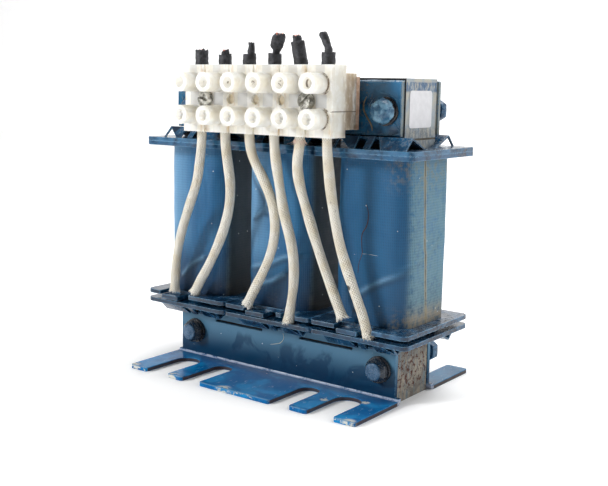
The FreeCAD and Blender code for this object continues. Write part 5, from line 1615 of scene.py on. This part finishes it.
def lead(number):
    """A sleeve along its spline, frayed below."""
    x = (FIRST_POLE + (number - 1) * POLE_PITCH) * MM
    y = WIRE_AXIS * MM
    route = [(x, y, LEAD_TOP), (x, y, STRIP_LOW)] + LEAD_ROUTES[number]
    drawn = spline_points("route_%d" % number, route)
    line, stations = even_line(drawn, LINE_STEP)
    radii = sleeve_radii(stations, LEAD_COLUMNS, number)
    name = "lead_sleeve_%d" % number
    piece = tube(name, line, stations, radii, LEAD_COLUMNS, sleeve_finish)
    heading = line[-1] - line[-4]
    fray = fibres("fray_%d" % number, line[-1], heading, LEAD_SIZE * 0.53, 0.0022, FRAY_THREADS,
                  40 + number, fibre_finish)
    if number == RAGGED_LEAD:
        collar = (line[8] + line[9]) / 2
        ruff = fibres("ruff_%d" % number, collar, line[9] - line[8], LEAD_SIZE * 0.5, 0.0026, 60,
                      200, stained_finish, 0.9)
    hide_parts("lead_%d" % number)
    print(name, round(float(stations[-1]) / MM, 1), "mm along its spline")


for number in LEAD_ROUTES:
    lead(number)

# %% [markdown]
# ## Cut cables on top
#
# Each upper terminal still holds the stub of a cable: a short black sheath, cut off square,
# and the cable's inner part, cut higher and torn. A plain cylinder would look machined, so
# each is a tube whose rim wanders up and down and whose wall is dented by a soft noise.

# %% Cut cables
STUB_COLUMNS = 40
STUB_ROWS = 40
SHEATH_RADIUS = 2.9
# For each cable, in millimetres and degrees: the sheath's height, its lean to the left and how
# ragged its rim is, then the inner part's heights, shifts to the left and radii, going upwards
STUBS = {
    1: (6.4, 0.0, 0.75, [(4.0, 0.0, 2.2), (5.4, 0.2, 2.1), (6.4, 0.5, 1.6)]),
    2: (4.5, 0.0, 0.5, [(3.0, -0.2, 1.75), (5.2, -0.1, 1.85), (6.3, -0.1, 1.5)]),
    3: (4.6, 0.0, 0.25, [(3.0, -1.2, 1.55), (6.5, -1.1, 1.55), (9.3, -1.0, 1.5)]),
    4: (4.7, 0.0, 0.3, [(3.0, -0.6, 1.6), (5.8, -0.8, 1.5), (7.4, -1.0, 2.6), (9.8, -1.5, 2.9),
                        (11.6, -2.3, 2.6), (12.8, -2.6, 2.3)]),
    5: (9.4, 13.0, 0.3, [(8.5, 1.9, 1.75), (10.5, 2.2, 1.75), (11.9, 2.4, 1.7)]),
    6: (5.0, 0.0, 0.25, [(3.0, 0.0, 1.6), (6.3, 0.1, 1.6), (9.4, 1.3, 1.6), (12.4, 3.2, 1.65)]),
}


def stub_surface(name, spine, radii, rim, seed, finish, dent=0.09):
    """A closed tube along the spine: its wall is dented by a noise, its rim lifted by waves."""
    steps = np.linspace(0, len(spine) - 1, STUB_ROWS)
    knots = np.arange(len(spine))
    line = np.stack([np.interp(steps, knots, spine[:, axis]) for axis in range(3)], axis=1)
    kernel = np.array([1, 2, 3, 2, 1]) / 9
    line[2:-2] = np.stack([np.convolve(line[:, axis], kernel, "valid") for axis in range(3)],
                          axis=1)
    width = np.interp(steps, knots, radii)[:, None] * np.ones((1, STUB_COLUMNS))
    turn = full_turn(STUB_COLUMNS)
    random = np.random.default_rng(seed)
    wave = sum(random.uniform(0.3, 1.0) * np.sin(count * turn + random.uniform(0, 6)) / count
               for count in range(1, 9))
    ring = ring_around(*line_frames(line), turn)
    wall = line[:, None] + width[..., None] * ring
    wall = wall + dent * smooth_noise(wall, 2.6, seed)[..., None] * ring
    lift = np.clip((steps - steps[-1] + 1.2) / 1.2, 0, 1)[:, None] * wave * rim
    wall[..., 2] += lift
    top = wall[-1].mean(axis=0) - (0, 0, 0.25)
    inset = top + (wall[-1] - top) * 0.72 - (0, 0, 0.2)
    wall = np.concatenate([wall, inset[None]])
    rows = len(wall)
    points = np.concatenate([wall.reshape(-1, 3), line[:1], top[None]]) * MM
    return put_mesh(name, points, closed_faces(rows, STUB_COLUMNS), finish)


print("stubs rise", min(stub[0] for stub in STUBS.values()), "mm and more")

# %% [markdown]
# ## Sheath, inner part and strands
#
# The sheath may lean to the left: at each height it moves by the height times the tangent of
# its lean. The inner part follows its own heights and shifts, and a few copper strands stand
# out of its torn end.

# %% Sheaths, inner parts and strands


def cut_cable(number):
    """A short sheath, the inner part that stands out of it, and its copper strands."""
    height, lean, ragged, inner = STUBS[number]
    x = FIRST_POLE + (number - 1) * POLE_PITCH
    y = WIRE_AXIS
    base = STRIP_BOX[1][2]
    tilt = math.tan(math.radians(lean))
    spine = np.array([(x, y, base - 0.4), (x, y, base + 1.0),
                      (x - (height / 2 - 1) * tilt, y, base + height / 2),
                      (x - (height - 1) * tilt, y, base + height)])
    sheath = stub_surface("sheath_%d" % number, spine, np.full(4, SHEATH_RADIUS), ragged,
                          60 + number, rubber_finish)
    spine = np.array([(x - shift, y, base + rise) for rise, shift, _ in inner])
    radii = np.array([radius for _, _, radius in inner])
    core = stub_surface("cable_%d" % number, spine, radii, 0.6, 80 + number, rubber_finish, 0.16)
    heading = spine[-1] - spine[-2]
    strands = fibres("strands_%d" % number, spine[-1] * MM - heading * 0.0002, heading,
                     radii[-1] * 0.62 * MM, 0.0016, 26, 100 + number, copper_finish, 0.3)
    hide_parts("cable_sheath_%d" % number)
    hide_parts("cable_core_%d" % number)


for number in STUBS:
    cut_cable(number)
print("cut cables", len(STUBS))

# %% [markdown]
# ## Studio
#
# The photograph is a bright product shot: a floor that is almost white and a white wall, both
# lit so strongly that only the narrow room under the feet stays grey. Two sheets that glow a
# little do that, with less glow where nearby surfaces shade them.

# %% Floor and wall
WORLD_LIGHT = 0.34
CAMERA_SIDE_LIGHT = 0.08
FLOOR_GLOW = 0.36
WALL_GLOW = 0.42
SHADOW_REACH = 0.045
SHADOW_POWER = 2.5
SHADED_FLOOR = 400.0
FLOOR_SHADE = srgb(250, 250, 250)


def glowing_white(name, glow):
    """A white sheet that glows, but not in the corners that the object shades."""
    recipe = Recipe(name)
    open_share = recipe.node("ShaderNodeAmbientOcclusion",
                             {"Distance": SHADOW_REACH}, samples=8).outputs["AO"]
    near = recipe.near(recipe.place(), (0.0, 0.0, 0.0), SHADED_FLOOR)
    far = recipe.sum("SUBTRACT", 1.0, near)
    lit = recipe.sum("MAXIMUM", recipe.sum("POWER", open_share, SHADOW_POWER), far)
    strength = recipe.sum("MULTIPLY", lit, glow)
    return recipe.finish(Base_Color=FLOOR_SHADE, Roughness=0.9, Specular_IOR_Level=0.1,
                         Emission_Color=(1.0, 1.0, 1.0), Emission_Strength=strength)


def studio_sheet(name, corners, finish):
    """One big square that belongs to the stage and not to the object."""
    mesh = bpy.data.meshes.new(name)
    mesh.from_pydata(corners, [], [(0, 1, 2, 3)])
    mesh.materials.append(finish)
    put_object(name, mesh)


def studio_sheets():
    """A glowing floor and a back wall, in metres."""
    reach, back, rise = 2.5, 1.3, 2.5
    studio_sheet("studio_floor", [(-reach, -reach, 0), (reach, -reach, 0), (reach, back, 0),
                                  (-reach, back, 0)], glowing_white("studio_floor", FLOOR_GLOW))
    studio_sheet("studio_wall", [(-reach, back, 0), (reach, back, 0), (reach, back, rise),
                                 (-reach, back, rise)], glowing_white("studio_wall", WALL_GLOW))


studio_sheets()
print("floor shadow reaches", SHADOW_REACH / MM, "mm")

# %% [markdown]
# ## Light from all around
#
# A photographer's room is bright in front of the object and darker behind the camera, and a
# glossy varnish shows both. The world's strength therefore falls as its heading nears the
# place where the photograph was taken from, a fixed direction. What the camera sees directly
# is plain white.

# %% World


def soft_world():
    """Strength: a smooth step of the dot product of two headings, and one for camera rays."""
    world = bpy.data.worlds.new("studio")
    world.use_nodes = True
    tree = world.node_tree
    heading = tree.nodes.new("ShaderNodeTexCoord")
    toward_camera = tree.nodes.new("ShaderNodeVectorMath")
    toward_camera.operation = "DOT_PRODUCT"
    tree.links.new(heading.outputs["Generated"], toward_camera.inputs[0])
    toward_camera.inputs[1].default_value = Vector(CAMERA_PLACE).normalized()
    dimmed = tree.nodes.new("ShaderNodeMapRange")
    dimmed.interpolation_type = "SMOOTHSTEP"
    tree.links.new(toward_camera.outputs["Value"], dimmed.inputs["Value"])
    for socket, value in (("From Min", 0.35), ("From Max", 0.95), ("To Min", WORLD_LIGHT),
                          ("To Max", CAMERA_SIDE_LIGHT)):
        dimmed.inputs[socket].default_value = value
    path = tree.nodes.new("ShaderNodeLightPath")
    seen = tree.nodes.new("ShaderNodeMath")
    seen.operation = "MAXIMUM"
    tree.links.new(path.outputs["Is Camera Ray"], seen.inputs[0])
    tree.links.new(dimmed.outputs[0], seen.inputs[1])
    tree.links.new(seen.outputs[0], tree.nodes["Background"].inputs["Strength"])
    tree.nodes["Background"].inputs["Color"].default_value = (1.0, 1.0, 1.0, 1.0)
    bpy.context.scene.world = world


soft_world()
print("world strength", CAMERA_SIDE_LIGHT, "behind the camera,", WORLD_LIGHT, "elsewhere")

# %% [markdown]
# ## Lamps
#
# One rectangle of light from the left of the front throws the soft shadows, one from above
# lifts the upper faces and one from the right brightens the ends of the yokes.

# %% Lamps
OBJECT_MIDDLE = (0.0, 0.0, 0.07)
# Place and size in metres, and power in watts
LAMPS = {
    "key": ((-0.82, -1.02, 0.66), (0.26, 0.32), 15.0),
    "top": ((0.2, 0.5, 1.2), (0.8, 0.6), 8.0),
    "right": ((1.1, 0.1, 0.6), (0.7, 0.9), 3.0),
}


def soft_light(name, place, aim, size, power):
    """A rectangle of light that faces the point it is aimed at."""
    data = bpy.data.lights.new(name, "AREA")
    data.shape = "RECTANGLE"
    data.size, data.size_y = size
    data.energy = power
    lamp = put_object(name, data)
    heading = Vector(aim) - Vector(place)
    turn = heading.to_track_quat("-Z", "Y").to_matrix().to_4x4()
    lamp.matrix_world = Matrix.Translation(place) @ turn


for name, (place, size, power) in LAMPS.items():
    soft_light(name, place, OBJECT_MIDDLE, size, power)
print("lamps", sum(power for _, _, power in LAMPS.values()), "W together")
bpy.context.scene.view_settings.view_transform = "Standard"
